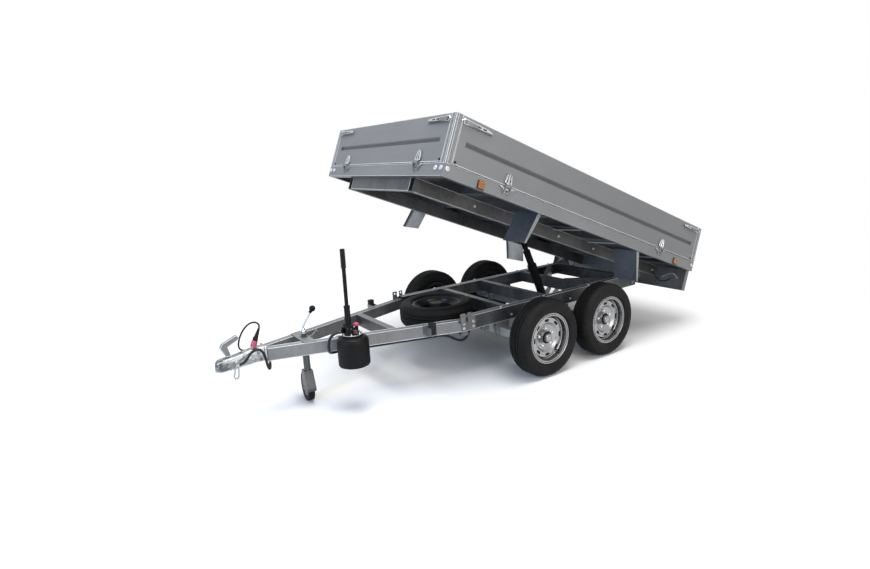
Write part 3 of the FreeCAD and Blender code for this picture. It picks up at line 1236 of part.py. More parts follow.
def make_mudflaps():
    """Slanted plates ahead of and behind the wheels, with a folded outboard flange."""
    flaps = []
    for name, x, run, drop in (("front_flap", "front_flap_x", "front_flap_run", "front_flap_drop"),
                               ("rear_flap", "rear_flap_x", "-rear_flap_run", "rear_flap_drop")):
        sheet_plate = plate(name + "_plate", "XZ_Plane", [
            (x, "tray_bottom"), ("%s + flap_wall" % x, "tray_bottom"),
            ("%s + flap_wall + %s" % (x, run), "tray_bottom - %s" % drop),
            ("%s + %s" % (x, run), "tray_bottom - %s" % drop)], "flap_width",
            ("0", "flap_outer", "0"))
        flange = plate(name + "_flange", "XZ_Plane", [
            ("%s - flap_flange / 2" % x, "tray_bottom"), ("%s + flap_flange / 2" % x, "tray_bottom"),
            ("%s + flap_flange / 2 + %s" % (x, run), "tray_bottom - %s" % drop),
            ("%s + %s" % (x, run), "tray_bottom - %s" % drop)], "flap_wall",
            ("0", "flap_outer", "0"))
        flap = fuse(name, sheet_plate, flange)
        flaps.extend([flap, mirror(flap)])
    on_bed("mudflaps", group("flap_set", *flaps))


def make_lights():
    """The rear light panel with its lamps, and the amber markers on the side rails."""
    low = "tray_bottom - light_panel_drop"
    face = box("panel_face", ("light_panel_wall", "2 * light_panel_half", "light_panel_drop"),
               ("-bed_rear", "-light_panel_half", low))
    foot = box("panel_foot", ("light_panel_depth", "2 * light_panel_half", "light_panel_wall"),
               ("-bed_rear", "-light_panel_half", low))
    wing = box("panel_wing", ("light_panel_depth", "light_panel_wall", "light_panel_drop"),
               ("-bed_rear", "light_panel_half - light_panel_wall", low))
    on_bed("light_panel", fuse("light_panel_body", face, foot, wing, mirror(wing)))
    lamp = box("tail_lamp", ("30", "210", "88"),
               ("-bed_rear - 30", "light_panel_half - 250", "%s + 50" % low))
    pieces = [lamp, mirror(lamp)]
    for name, x in (("front_marker", "front_marker_x"), ("rear_marker", "rear_marker_x")):
        marker = box(name, ("marker_length", "marker_depth", "marker_height"),
                     ("%s - marker_length / 2" % x, "half_bed",
                      "tray_bottom + tray_height / 2 - marker_height / 2 - 9"))
        pieces.extend([marker, mirror(marker)])
    on_bed("lamps", group("lamp_set", *pieces))


# Hoses and cables

def rounded_path(points, share=0.45):
    """Straight runs joined by tangent arcs. Each arc takes a share of the shorter run beside it."""
    edges = []
    start = points[0]
    for before, corner, after in zip(points, points[1:], points[2:]):
        back = before - corner
        ahead = after - corner
        reach = share * min(back.Length, ahead.Length)
        back.normalize()
        ahead.normalize()
        first = corner + back * reach
        last = corner + ahead * reach
        bisector = back + ahead
        bisector.normalize()
        half_turn = (back.getAngle(ahead)) / 2
        radius = reach * math.tan(half_turn)
        depth = radius / math.sin(half_turn) - radius
        edges.append(Part.LineSegment(start, first).toShape())
        edges.append(Part.Arc(first, corner + bisector * depth, last).toShape())
        start = last
    edges.append(Part.LineSegment(start, points[-1]).toShape())
    return edges


def cord_tube(label, radius, points):
    """A cord's tube along its route, whose points are places ahead of the axles, left and up."""
    route = [Vector(SIZES["axles_x"] + x, y, z) for x, y, z in points]
    edges = rounded_path(route)
    wire = Part.Wire(edges)
    start = route[1] - route[0]
    start.normalize()
    ring = Part.Wire(Part.Circle(route[0], start, radius).toShape())
    tube = wire.makePipeShell([ring], True, False)
    radii = [round(edge.Curve.Radius) for edge in edges if hasattr(edge.Curve, "Radius")]
    print(label, "length", round(wire.Length), "smallest radius", min(radii), "volume ratio",
          round(tube.Volume / (math.pi * radius ** 2 * wire.Length), 4))
    piece = document.addObject("Part::Feature", label)
    piece.Shape = tube
    return node(label, piece)


# Routes, chosen by hand: millimetres ahead of the axles' middle, left, and up
HOSE_ROUTE = [
    (1672, 288, 524), (1708, 288, 524), (1738, 284, 498), (1744, 272, 456), (1736, 246, 416),
    (1718, 208, 382), (1692, 174, 361), (1652, 161, 357), (1590, 180, 359), (1430, 231, 357), (1250, 291, 360),
    (1090, 340, 357), (985, 376, 362), (925, 394, 352), (878, 401, 322), (836, 404, 297),
    (793, 402, 292), (758, 398, 310), (735, 393, 345), (706, 387, 375), (650, 381, 388),
    (570, 378, 376), (490, 377, 357), (395, 379, 350), (250, 376, 352), (80, 379, 350),
    (-80, 376, 352), (-220, 375, 349), (-310, 356, 342), (-362, 312, 322), (-396, 250, 295),
    (-414, 186, 266), (-420, 136, 250), (-420, 88.2, 250)]
SAFETY_ROUTE = [
    (2050, 44, 360), (2050, 44, 338), (2060, 64, 322), (2074, 88, 334), (2083, 98, 366),
    (2090, 101, 410), (2099, 101, 447), (2118, 100, 474), (2147, 97, 478), (2178, 94, 456),
    (2202, 92, 424), (2222, 90, 406), (2245.8, 90, 406)]
PLUG_ROUTE = [
    (2030, -83.2, 412), (2030, -104, 412), (2048, -122, 413), (2082, -126, 416), (2120, -118, 419),
    (2156, -102, 424), (2186, -80, 438), (2204, -58, 470), (2202, -42, 510), (2188, -32, 552),
    (2164, -22, 592), (2132, -10, 620), (2098, 6, 624), (2078.9, 20, 602.1), (2089.4, 20, 578.4)]


def make_cables():
    """The pump's hose, the breakaway cable with its hook, and the lighting cable with its plug."""
    cord_tube("hydraulic_hose", SIZES["hose_radius"], HOSE_ROUTE)
    cord_tube("safety_cable", SIZES["safety_radius"], SAFETY_ROUTE)
    cord_tube("plug_cable", SIZES["plug_cable_radius"], PLUG_ROUTE)
    ring = plate("hook_ring", "XZ_Plane", [
        ("axles_x + 2246", "414"), ("axles_x + 2246", "398"), ("axles_x + 2252", "330"),
        ("axles_x + 2262", "316"), ("axles_x + 2282", "322"), ("axles_x + 2288", "340"),
        ("axles_x + 2264", "414")], "9", ("0", "94.5", "0"))
    eye = plate("hook_eye", "XZ_Plane", [
        ("axles_x + 2255", "396"), ("axles_x + 2261", "334"), ("axles_x + 2267", "326"),
        ("axles_x + 2276", "329"), ("axles_x + 2278", "340"), ("axles_x + 2262", "396")], "29",
        ("0", "104.5", "0"))
    node("safety_hook", cut("safety_hook", ring, eye))
    shell = rod("plug_shell", "plug_radius", "plug_length", ("0", "0", "0"))
    cover = rod("plug_cover", "plug_radius + 4", "10", ("0", "0", "0"))
    boot = cone("plug_boot", "plug_radius - 5", "plug_cable_radius + 1.5", "plug_boot_length",
                ("0", "0", "plug_length"))
    plug = group("plug_placed", fuse("plug_body", shell, cover, boot))
    place(plug, ("axles_x + 2136", "20", "473.3"), (0, 1, 0), "-23.9")
    node("plug", plug)


def build():
    """Make every sub-part."""
    make_chassis_rails()
    make_cross_members()
    make_rail_braces()
    make_drawbar_beams()
    make_coupling()
    make_axle("axle_front", "front_axle_x")
    make_axle("axle_rear", "rear_axle_x")
    make_wheels()
    make_hinge_brackets()
    make_frame_brackets()
    make_cylinder_cradle()
    make_cylinder()
    make_jockey()
    make_spare()
    make_pump()
    make_bed_floor()
    make_tray_rails()
    make_bed_beams()
    make_bed_bearers()
    make_corner_posts()
    make_boards()
    make_mudflaps()
    make_lights()
    make_cables()
    document.recompute()


def check_and_write():
    """Stop on any failed object or shape, then write one file for each sub-part."""
    failed = [item.Name for item in document.Objects
              if "Invalid" in item.State or "Error" in item.State]
    if failed:
        raise RuntimeError("failed: " + ", ".join(failed))
    os.makedirs("parts", exist_ok=True)
    for item in NODES:
        shape = item.Shape
        if shape.isNull() or not shape.isValid() or not shape.Solids:
            raise RuntimeError("%s has no valid shape" % item.Label)
        shape.exportStep(os.path.join("parts", item.Label + ".step"))


build()
check_and_write()
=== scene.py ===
import json
import math
from fnmatch import fnmatch

import bmesh
import bpy
from mathutils import Matrix, Vector


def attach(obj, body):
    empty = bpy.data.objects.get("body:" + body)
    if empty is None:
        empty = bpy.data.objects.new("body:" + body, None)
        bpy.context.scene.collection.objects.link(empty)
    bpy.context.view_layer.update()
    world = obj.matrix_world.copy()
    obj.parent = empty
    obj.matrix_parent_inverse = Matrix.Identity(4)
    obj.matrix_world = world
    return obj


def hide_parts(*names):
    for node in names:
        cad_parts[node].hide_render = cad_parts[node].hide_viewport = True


# A galvanised tandem-axle tipping trailer: +X forward along the drawbar, +Y left, +Z up. Pieces are
# drawn in millimetres, ahead of the axles' middle or in the bed's own frame, and placed in metres.

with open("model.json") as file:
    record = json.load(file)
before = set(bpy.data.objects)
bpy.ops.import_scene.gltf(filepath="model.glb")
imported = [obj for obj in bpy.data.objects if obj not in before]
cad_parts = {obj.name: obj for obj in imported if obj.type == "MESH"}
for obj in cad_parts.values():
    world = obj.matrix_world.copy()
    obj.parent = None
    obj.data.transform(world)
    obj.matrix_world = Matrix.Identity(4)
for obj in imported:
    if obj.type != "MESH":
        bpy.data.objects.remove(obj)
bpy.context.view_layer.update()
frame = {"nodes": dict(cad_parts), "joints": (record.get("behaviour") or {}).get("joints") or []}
NODES = frame["nodes"]
JOINTS = {joint["name"]: joint for joint in frame["joints"]}


def pin(name):
    """The place of a joint's pin."""
    return Vector(JOINTS[name]["pos_m"])


# Places taken from the frame, in metres
AXLES_X = (pin("wheel_front_left_spin").x + pin("wheel_rear_left_spin").x) / 2
BED_TILT = math.radians(20.8)
BED = Matrix.Translation(pin("bed_tip")) @ Matrix.Rotation(-BED_TILT, 4, "Y")

# Sizes of the bed in millimetres: X forward along the floor from the hinge, Z square to it
BED_FRONT = 2515
BED_REAR = -246
BED_MIDDLE = (BED_FRONT + BED_REAR) / 2
BED_HALF = 800
TRAY_BOTTOM = 128
BOARD_BOTTOM = 213
BOARD_TOP = 508
END_BOARD_HALF = 749
SIDE_BOARD_HALF = 1329.5
END_STRAP = 500
FRONT_STRAP = 2020
REAR_STRAP = 285


# Camera, floor and light

CAMERA_PLACE = Vector((2.6056, 3.4684, 1.5716))
CAMERA_LOOK = Vector((-0.56826, -0.80077, -0.18935))
CAMERA_RIGHT = Vector((-0.80880, 0.58590, -0.05055))
FOCAL_LENGTH = 23.08
SENSOR_WIDTH = 36.0
VIEW_SHIFT = (-0.0221, -0.0233)


def placed(name, data):
    """A new object in the scene, with the given mesh, curve, lamp or camera."""
    obj = bpy.data.objects.new(name, data)
    bpy.context.scene.collection.objects.link(obj)
    return obj


def make_camera():
    """The camera that took the photograph."""
    look = CAMERA_LOOK.normalized()
    right = (CAMERA_RIGHT - look * CAMERA_RIGHT.dot(look)).normalized()
    up = right.cross(look)
    data = bpy.data.cameras.new("camera")
    data.lens = FOCAL_LENGTH
    data.sensor_width = SENSOR_WIDTH
    data.shift_x, data.shift_y = VIEW_SHIFT
    camera = placed("camera", data)
    turn = Matrix((right, up, -look)).transposed().to_4x4()
    camera.matrix_world = Matrix.Translation(CAMERA_PLACE) @ turn
    bpy.context.scene.camera = camera


# Material building

def add(tree, kind, inputs=None, **settings):
    """A shader node with its settings and inputs, where an input may be another node's socket."""
    made = tree.nodes.new("ShaderNode" + kind)
    for key, value in settings.items():
        setattr(made, key, value)
    for key, value in (inputs or {}).items():
        if isinstance(value, bpy.types.NodeSocket):
            tree.links.new(value, made.inputs[key])
        else:
            made.inputs[key].default_value = value
    return made


def empty_tree(owner):
    """The node tree of a material or world, with nothing in it yet."""
    owner.use_nodes = True
    owner.node_tree.nodes.clear()
    return owner.node_tree


def new_material(name, **values):
    """A material, its tree and its Principled shader, whose sockets take the given values."""
    material = bpy.data.materials.new(name)
    tree = empty_tree(material)
    surface = add(tree, "BsdfPrincipled")
    add(tree, "OutputMaterial", {"Surface": surface.outputs[0]})
    for key, value in values.items():
        surface.inputs[key.replace("_", " ")].default_value = value
    return material, tree, surface


def place_coordinates(tree, stretch=(1, 1, 1)):
    """The object's own coordinates in metres, stretched by axis."""
    coordinates = add(tree, "TexCoord")
    mapping = add(tree, "Mapping", {"Vector": coordinates.outputs["Object"], "Scale": stretch})
    return mapping.outputs[0]


def noise(vector, scale, detail=3, roughness=0.5):
    """A noise value between 0 and 1."""
    made = add(vector.id_data, "TexNoise", {"Vector": vector, "Scale": scale, "Detail": detail,
                                            "Roughness": roughness})
    return made.outputs[0]


def ramp(value, low, high, out_low=0, out_high=1):
    """The value mapped from one range to another, and held at its ends."""
    made = add(value.id_data, "MapRange", {"Value": value, "From Min": low, "From Max": high,
                                           "To Min": out_low, "To Max": out_high})
    return made.outputs[0]


def mix_colour(factor, first, last):
    """Two colours or colour sockets mixed by a value."""
    return add(factor.id_data, "Mix", {0: factor, 6: first, 7: last}, data_type="RGBA").outputs[2]


def sum_of(first, last, operation="ADD"):
    """Two values joined by a plain sum or other operation."""
    return add(first.id_data, "Math", {0: first, 1: last}, operation=operation).outputs[0]


def finish(surface, colour, roughness, height, depth, strength):
    """Give a shader its colour and roughness, and a bump of the given depth in metres."""
    tree = surface.id_data
    tree.links.new(colour, surface.inputs["Base Color"])
    tree.links.new(roughness, surface.inputs["Roughness"])
    made = add(tree, "Bump", {"Height": height, "Distance": depth, "Strength": strength})
    tree.links.new(made.outputs[0], surface.inputs["Normal"])


def grey(level, blue=0):
    """A grey with a little blue in it."""
    return (level * (1 - blue), level, level * (1 + blue), 1)


def galvanised(name, level, spangle, metal, rough, contrast, blue):
    """Hot-dip zinc: crystals of slightly different grey, cloudy patches and fine dull flow marks."""
    material, tree, surface = new_material(name, Metallic=metal)
    place = place_coordinates(tree)
    crystals = add(tree, "TexVoronoi", {"Vector": place, "Scale": spangle, "Randomness": 1.0})
    tone = add(tree, "SeparateColor", {"Color": crystals.outputs["Color"]}).outputs[0]
    clouds = noise(place, 3, 4, 0.55)
    flow = noise(place_coordinates(tree, (1, 1, 0.25)), 30, 3)
    blotch = sum_of(ramp(clouds, 0.30, 0.70), ramp(tone, 0, 1, -0.16, 0.16))
    fleck = sum_of(blotch, ramp(flow, 0.3, 0.7, -0.14, 0.14))
    colour = mix_colour(ramp(fleck, 0, 1), grey(level * (1 - contrast), blue),
                        grey(level * (1 + contrast), blue))
    dull = ramp(sum_of(tone, clouds), 0.4, 1.5, rough - 0.05, rough + 0.10)
    finish(surface, colour, dull, noise(place, 420, 2), 0.0004, 0.25)
    return material


def board_sheet(name, low, high):
    """Coated sheet steel: an even dull grey with a soft sheen and faint rolling streaks."""
    material, tree, surface = new_material(name, Metallic=0.55)
    place = place_coordinates(tree)
    streaks = noise(place_coordinates(tree, (0.3, 0.3, 6)), 9, 4)
    clouds = noise(place, 1.8, 3)
    fine = noise(place, 240, 2)
    blend = sum_of(ramp(clouds, 0.3, 0.7, 0.2, 0.8), ramp(streaks, 0.3, 0.7, -0.1, 0.1))
    colour = mix_colour(blend, grey(low, 0.02), grey(high, 0.02))
    finish(surface, colour, ramp(fine, 0.3, 0.7, 0.40, 0.54), fine, 0.0004, 0.2)
    return material


def rubber(name, level, rough, grain, dust, shine):
    """Black rubber with a fine grain and a little grey dust in patches."""
    material, tree, surface = new_material(name, Specular_IOR_Level=shine)
    place = place_coordinates(tree)
    patches = ramp(noise(place, 7, 5, 0.6), 0.42, 0.75)
    colour = mix_colour(patches, grey(level), grey(level + dust, -0.04))
    fine = noise(place, grain, 2)
    dull = ramp(fine, 0.3, 0.7, rough - 0.08, rough + 0.10)
    finish(surface, colour, dull, fine, 0.0005, 0.3)
    return material


def lacquer(name, colour, rough, metal, coat, shine):
    """Paint or lacquer with slight orange peel, and a paler bloom in patches."""
    material, tree, surface = new_material(name, Metallic=metal, Specular_IOR_Level=shine,
                                           Coat_Weight=coat, Coat_Roughness=0.15)
    place = place_coordinates(tree)
    bloom = ramp(noise(place, 14, 5, 0.6), 0.40, 0.75, 0, 0.12)
    paler = [min(channel * 1.6 + 0.02, 1) for channel in colour]
    skin = noise(place, 160, 1)
    dull = sum_of(ramp(skin, 0.3, 0.7, rough - 0.06, rough + 0.08), bloom)
    shade = mix_colour(bloom, (*colour, 1), (*paler, 1))
    finish(surface, shade, dull, skin, 0.0006, 0.25)
    return material


def lens(name, colour):
    """Moulded lamp lens: deep coloured plastic with fine prisms behind a clear skin."""
    material, tree, surface = new_material(name, Coat_Weight=0.8, Coat_Roughness=0.06)
    place = place_coordinates(tree)
    prisms = add(tree, "TexVoronoi", {"Vector": place, "Scale": 260, "Randomness": 0.15})
    depth = prisms.outputs["Distance"]
    darker = [channel * 0.45 for channel in colour]
    shade = mix_colour(ramp(depth, 0.1, 0.6), (*colour, 1), (*darker, 1))
    finish(surface, shade, ramp(depth, 0, 0.6, 0.18, 0.33), depth, 0.0008, 0.4)
    return material


def bright_metal(name, level, rough):
    """Zinc-plated or chromed small parts, with fine scratches."""
    material, tree, surface = new_material(name, Metallic=1)
    place = place_coordinates(tree, (1, 1, 4))
    marks = noise(place, 90, 4)
    colour = mix_colour(ramp(marks, 0.35, 0.7), grey(level * 0.8, 0.02), grey(level, 0.02))
    dull = ramp(marks, 0.3, 0.7, rough - 0.06, rough + 0.12)
    finish(surface, colour, dull, marks, 0.0003, 0.2)
    return material


# Grey, crystals in a metre, metal, roughness, contrast and blue
GALVANISED = {
    "frame": (0.200, 95, 0.55, 0.40, 0.22, 0.02),
    # The next entry darkens the rails' upright faces: painted shade.
    "rail_web": (0.085, 80, 0.5, 0.40, 0.55, 0.02),
    # The next entry darkens the bed's parts, seen from below: painted shade.
    "under": (0.105, 70, 0.5, 0.45, 0.38, -0.02),
    "jockey": (0.085, 90, 0.5, 0.42, 0.30, 0),
    "strap": (0.22, 90, 0.5, 0.40, 0.25, 0.02),
    # The next entry also paints a highlight on the mudflaps' outward faces.
    "flange": (0.30, 70, 0.6, 0.36, 0.30, 0.02),
    # The next entry makes the mudflaps darker and bluer: painted shade and a painted sky reflection.
    "sheet": (0.13, 60, 0.45, 0.40, 0.22, 0.12),
    "shell": (0.36, 60, 0.7, 0.28, 0.70, 0.02),
}
# Darkest and palest grey
BOARD_SHEET = {
    "board": (0.20, 0.24),
    "tray": (0.20, 0.26),
    # The next entry darkens the bottoms of the boards' grooves: painted shade.
    "groove_painted_shade": (0.085, 0.105),
}
# Grey, roughness, grains in a metre, dust and shine
RUBBER = {
    "tyre": (0.005, 0.60, 500, 0.008, 0.15),
    "block": (0.012, 0.7, 300, 0.012, 0.25),
    "hose": (0.010, 0.42, 700, 0.01, 0.25),
}
# Colour, roughness, metal, coat and shine
LACQUER = {
    # The next entry is a bright finish that paints glints: on rods along folds and hems, and on the crank,
    # bolts, rivets, bosses and struts that take it.
    "painted_glint": ((0.58, 0.59, 0.61), 0.36, 0.25, 0, 0.5),
    "steel_dark": ((0.06, 0.06, 0.065), 0.4, 0.6, 0, 0.5),
    "rim": ((0.30, 0.30, 0.305), 0.22, 0.85, 0.15, 0.5),
    "rim_back": ((0.02, 0.02, 0.021), 0.5, 0.1, 0, 0.2),
    "black": ((0.0045, 0.0045, 0.005), 0.45, 0, 0, 0.14),
    "black_gloss": ((0.012, 0.012, 0.0125), 0.22, 0, 0.4, 0.5),
    "plastic": ((0.007, 0.007, 0.0075), 0.5, 0, 0, 0.18),
    "red": ((0.50, 0.035, 0.09), 0.35, 0, 0.2, 0.5),
    "red_dark": ((0.09, 0.016, 0.018), 0.4, 0, 0.1, 0.5),
    "pink": ((0.55, 0.10, 0.16), 0.42, 0, 0.1, 0.5),
    "plate_blank": ((0.70, 0.70, 0.67), 0.4, 0, 0.2, 0.5),
}
# Colour
LENS = {
    "amber": ((0.40, 0.10, 0.003),),
    "amber_bright": ((0.74, 0.27, 0.01),),
    "red_lens": ((0.50, 0.012, 0.015),),
    "white_lens": ((0.70, 0.71, 0.72),),
}
# Grey and roughness
BRIGHT_METAL = {
    "fitting": (0.66, 0.28),
    "chrome": (0.72, 0.16),
    "cap": (0.34, 0.24),
    "hook": (0.40, 0.25),
}
MATERIALS = {key: build(key, *values)
             for build, table in ((galvanised, GALVANISED), (board_sheet, BOARD_SHEET), (rubber, RUBBER),
                                  (lacquer, LACQUER), (lens, LENS), (bright_metal, BRIGHT_METAL))
             for key, values in table.items()}

# The material of each CAD node, from the first pattern that its name fits
FINISHES = (
    ("*_fittings", "strap"), ("board_*", "board"), ("tray_*", "tray"), ("corner_posts", "tray"),
    # Bed parts take darker zinc, and the mudflaps darker, bluer zinc: painted shade, with a painted sky
    # reflection on the flaps.
    ("bed_*", "under"), ("mudflaps", "sheet"), ("lamps", "amber"), ("axle_*", "flange"),
    ("*tyre*", "tyre"), ("spare_rim", "rim_back"), ("rim_*", "rim"), ("jockey_rim", "rim"),
    # The crank takes the bright finish that paints glints.
    ("jockey_clamp", "frame"), ("jockey_crank", "painted_glint"), ("jockey_*", "jockey"),
    ("cylinder_cradle", "frame"), ("cylinder_*", "black"), ("pump_knob", "red"), ("pump_*", "black"),
    ("hydraulic_hose", "hose"), ("*_cable", "hose"), ("safety_hook", "hook"), ("plug", "pink"),
    ("rest_buffers", "block"), ("*", "frame"))
SMOOTH_ANGLE = math.radians(32)


def smooth(mesh):
    """Smooth shading, with the edges that turn more than the angle kept sharp."""
    for polygon in mesh.polygons:
        polygon.use_smooth = True
    mesh.set_sharp_from_angle(angle=SMOOTH_ANGLE)


def dress_frame():
    """Give every carried-over node its material and smooth shading."""
    for name, node in NODES.items():
        key = next(key for pattern, key in FINISHES if fnmatch(name, pattern))
        node.data.materials.clear()
        node.data.materials.append(MATERIALS[key])
        smooth(node.data)


# Mesh building, in millimetres

MILLIMETRES = Matrix.Scale(0.001, 4)
CHASSIS = Matrix.Translation((AXLES_X, 0, 0)) @ MILLIMETRES
BED_PLACE = BED @ MILLIMETRES
HERE = Matrix()
UP = (0, 0, 1)


def standing(place, axis=UP, turn=0):
    """A frame at a place, with its Z along the axis and turned about it in degrees."""
    aim = Vector(axis).to_track_quat("Z", "Y").to_matrix().to_4x4()
    return Matrix.Translation(place) @ aim @ Matrix.Rotation(math.radians(turn), 4, "Z")


def facing(place, outward, mirror=1):
    """A frame at a place on an upright face: X along it, or the other way in a mirror, and Z outward."""
    up = Vector(UP)
    turn = Matrix((up.cross(outward) * mirror, up, Vector(outward))).transposed().to_4x4()
    return Matrix.Translation(place) @ turn


def circle(steps, radius=1, height=0, start=0):
    """Points round Z, from a start given in steps."""
    turns = [math.tau * (step + start) / steps for step in range(steps)]
    return [(radius * math.cos(turn), radius * math.sin(turn), height) for turn in turns]


def inset(outline, distance):
    """An outline drawn in on all sides."""
    made = []
    count = len(outline)
    for index in range(count):
        before, here, after = (Vector(outline[(index + step) % count]) for step in (-1, 0, 1))
        first = (here - before).normalized()
        last = (after - here).normalized()
        inward = Vector((-first.y - last.y, first.x + last.x))
        lean = max(1 + first.dot(last), 0.3)
        made.append(here + inward * (distance / lean))
    return made


ROUND_STEPS = 5


def bent(points, radius):
    """A line with its corners rounded."""
    path = [Vector(point) for point in points]
    made = [path[0]]
    for before, here, after in zip(path, path[1:], path[2:]):
        reach = min(radius, (before - here).length * 0.45, (after - here).length * 0.45)
        start = here + (before - here).normalized() * reach
        end = here + (after - here).normalized() * reach
        for step in range(ROUND_STEPS + 1):
            part = step / ROUND_STEPS
            made.append(start.lerp(here, part).lerp(here.lerp(end, part), part))
    return made + [path[-1]]


class Shape:
    """A piece's mesh, gathered from solids that each show one of its materials."""

    def __init__(self, place=CHASSIS):
        self.place = place
        self.points = []
        self.faces = []
        self.marks = []

    def loft(self, rings, mark=0, closed=False, place=HERE):
        """A skin over rings of points, with its ends filled unless it closes on itself."""
        start = len(self.points)
        count = len(rings[0])
        for ring in rings:
            self.points += [place @ Vector(point) for point in ring]
        spans = len(rings) if closed else len(rings) - 1
        for index in range(spans):
            low = start + index * count
            high = start + (index + 1) % len(rings) * count
            for step in range(count):
                after = (step + 1) % count
                self.faces.append((low + step, low + after, high + after, high + step))
                self.marks.append(mark)
        if not closed:
            self.faces.append(tuple(reversed(range(start, start + count))))
            self.faces.append(tuple(range(start + spans * count, start + (spans + 1) * count)))
            self.marks += [mark, mark]

    def prism(self, outline, low, high, mark=0, bevel=1, place=HERE):
        """An outline given depth, with its edges chamfered."""
        inner = inset(outline, bevel)
        rings = [[(x, y, low) for x, y in inner], [(x, y, low + bevel) for x, y in outline],
                 [(x, y, high - bevel) for x, y in outline], [(x, y, high) for x, y in inner]]
        self.loft(rings, mark, False, place)

    def box(self, low, high, mark=0, bevel=1, place=HERE):
        """A block with all its edges chamfered."""
        left, back, bottom = low
        right, front, top = high
        outline = [(left + bevel, back), (right - bevel, back), (right, back + bevel),
                   (right, front - bevel), (right - bevel, front), (left + bevel, front),
                   (left, front - bevel), (left, back + bevel)]
        self.prism(outline, bottom, top, mark, bevel * 0.8, place)

    def lathe(self, profile, mark=0, steps=32, place=HERE, closed=False):
        """A profile of radius and height, turned about Z."""
        self.loft([circle(steps, *point) for point in profile], mark, closed, place)

    def tube(self, points, radius, mark=0, steps=12, place=HERE):
        """A round bar along a line, with one radius or one for each point."""
        path = [Vector(point) for point in points]
        widths = radius if isinstance(radius, (list, tuple)) else [radius] * len(path)
        side = None
        rings = []
        for index, (point, width) in enumerate(zip(path, widths)):
            ahead = (path[min(index + 1, len(path) - 1)] - path[max(index - 1, 0)]).normalized()
            side = ahead.orthogonal() if side is None else side
            side = (side - ahead * side.dot(ahead)).normalized()
            other = ahead.cross(side)
            rings.append([point + (side * x + other * y) * width for x, y, z in circle(steps)])
        self.loft(rings, mark, False, place)

    def bolt(self, place, size=9, height=8, mark=0):
        """A hexagon head on its washer, standing on a frame's XY plane."""
        washer = [(size * 1.35, 0), (size * 1.35, 1.6), (size * 1.25, 2.2), (size * 0.6, 2.2)]
        self.lathe(washer, mark, 20, place)
        hexagon = [(x, y) for x, y, z in circle(6, size)]
        self.prism(hexagon, 2, 2.0 + height, mark, 0.9, place)
        end = [(size * 0.5, height), (size * 0.5, height + 3.4), (size * 0.36, height + 4.4)]
        self.lathe(end, mark, 12, place)

    def make(self, name, body, slot, *materials, stands_for=None):
        """The finished piece, riding on a body, and standing for a node if one is named."""
        mesh = bpy.data.meshes.new(name)
        mesh.from_pydata([self.place @ point for point in self.points], [], self.faces)
        for polygon, mark in zip(mesh.polygons, self.marks):
            polygon.material_index = mark
        work = bmesh.new()
        work.from_mesh(mesh)
        bmesh.ops.recalc_face_normals(work, faces=work.faces)
        work.to_mesh(mesh)
        work.free()
        smooth(mesh)
        for key in materials:
            mesh.materials.append(MATERIALS[key])
        piece = placed(name, mesh)
        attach(piece, body)
        if stands_for:
            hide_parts(stands_for)
        return piece


# Tyres and wheels

# Offset from the tyre's middle and radius, from the bead to the middle of the tread
TYRE_HALF_PROFILE = (
    (61.7, 166), (62, 182), (64.5, 185.6), (68.5, 187), (73, 190), (77, 195),
    (80, 201), (81.4, 208), (82.4, 210.5), (82.4, 213.5), (81.2, 215), (81.2, 222),
    (82.4, 224), (82.4, 227), (81.2, 228.5), (81.4, 240), (80.6, 246), (81.6, 247.5),
    (80.8, 252), (77.6, 257.5), (73.5, 263), (68.5, 268), (62.5, 272), (56, 275.6),
    (49, 278.6), (42, 280.3), (33.5, 280.5), (31.5, 273.5), (27.5, 273.5), (25.5, 280.5),
    (17, 280.5), (10.5, 280.5), (8.5, 273.5), (4.5, 273.5), (2.5, 280.5))
TREAD_STEPS = 240
BLOCK_STEPS = 5


def tread_cut(step, offset, radius):
    """How deep the tread is cut: notches between the shoulder blocks and slits in the ribs."""
    across = abs(offset)
    place = (step + int(across // 9)) % BLOCK_STEPS
    if radius > 256 and across > 34 and place == 0:
        return 4.5
    return 3 if 12 < across < 24 and place == 2 else 0


def make_tyre(name, body, place, stands_for):
    """A road tyre with ribs, shoulder blocks and rings on its walls."""
    mirrored = [(-offset, radius) for offset, radius in reversed(TYRE_HALF_PROFILE)]
    around = circle(TREAD_STEPS)
    rings = []
    for offset, radius in list(TYRE_HALF_PROFILE) + mirrored:
        reaches = [radius - tread_cut(step, offset, radius) for step in range(TREAD_STEPS)]
        rings.append([(reach * x, reach * y, offset) for reach, (x, y, z) in zip(reaches, around)])
    shape = Shape(place)
    shape.loft(rings, 0, True)
    shape.make(name, body, "tyre_rubber", "tyre", stands_for=stands_for)


# Radius and height of the rim's lip, of the dark rings of painted shade in its grooves, and of the drum,
# hub ring and hub cap, from the wheel's middle
RIM_LIP = ((178, 63), (178, 66.4), (180.5, 68), (183, 67), (184, 63.5))
RIM_GROOVE_SHADES = (
    ((170, 64.4), (170, 66.7), (173.5, 66.7), (173.5, 64.4)),
    ((159, 26), (159, 29), (162.2, 29), (162.2, 26)),
    ((141.5, 22), (141.5, 31), (145.8, 31), (145.8, 22)))
DRUM_FACE = ((96, 15), (143, 15), (143, 19), (96, 19))
HUB_RING = ((31.5, 29), (31.5, 31.4), (43.5, 31.4), (46, 29.4))
HUB_CAP = ((31.6, 30.5), (31.4, 45), (29, 52.5), (23, 57), (10, 58.6), (0.5, 58.8))
VENTS = 8
VENT_RADIUS = 124
# Dark patches in the rim's vents: painted shade.
VENT_SHADE_OUTLINE = ((-10, -13), (-5.5, -20.5), (5.5, -20.5), (10, -13),
                (10, 13), (5.5, 20.5), (-5.5, 20.5), (-10, 13))
WHEEL_BOLTS = 5
WHEEL_BOLT_RADIUS = 66
HUB_FACE = 11.5
VALVE_TURN = -0.9
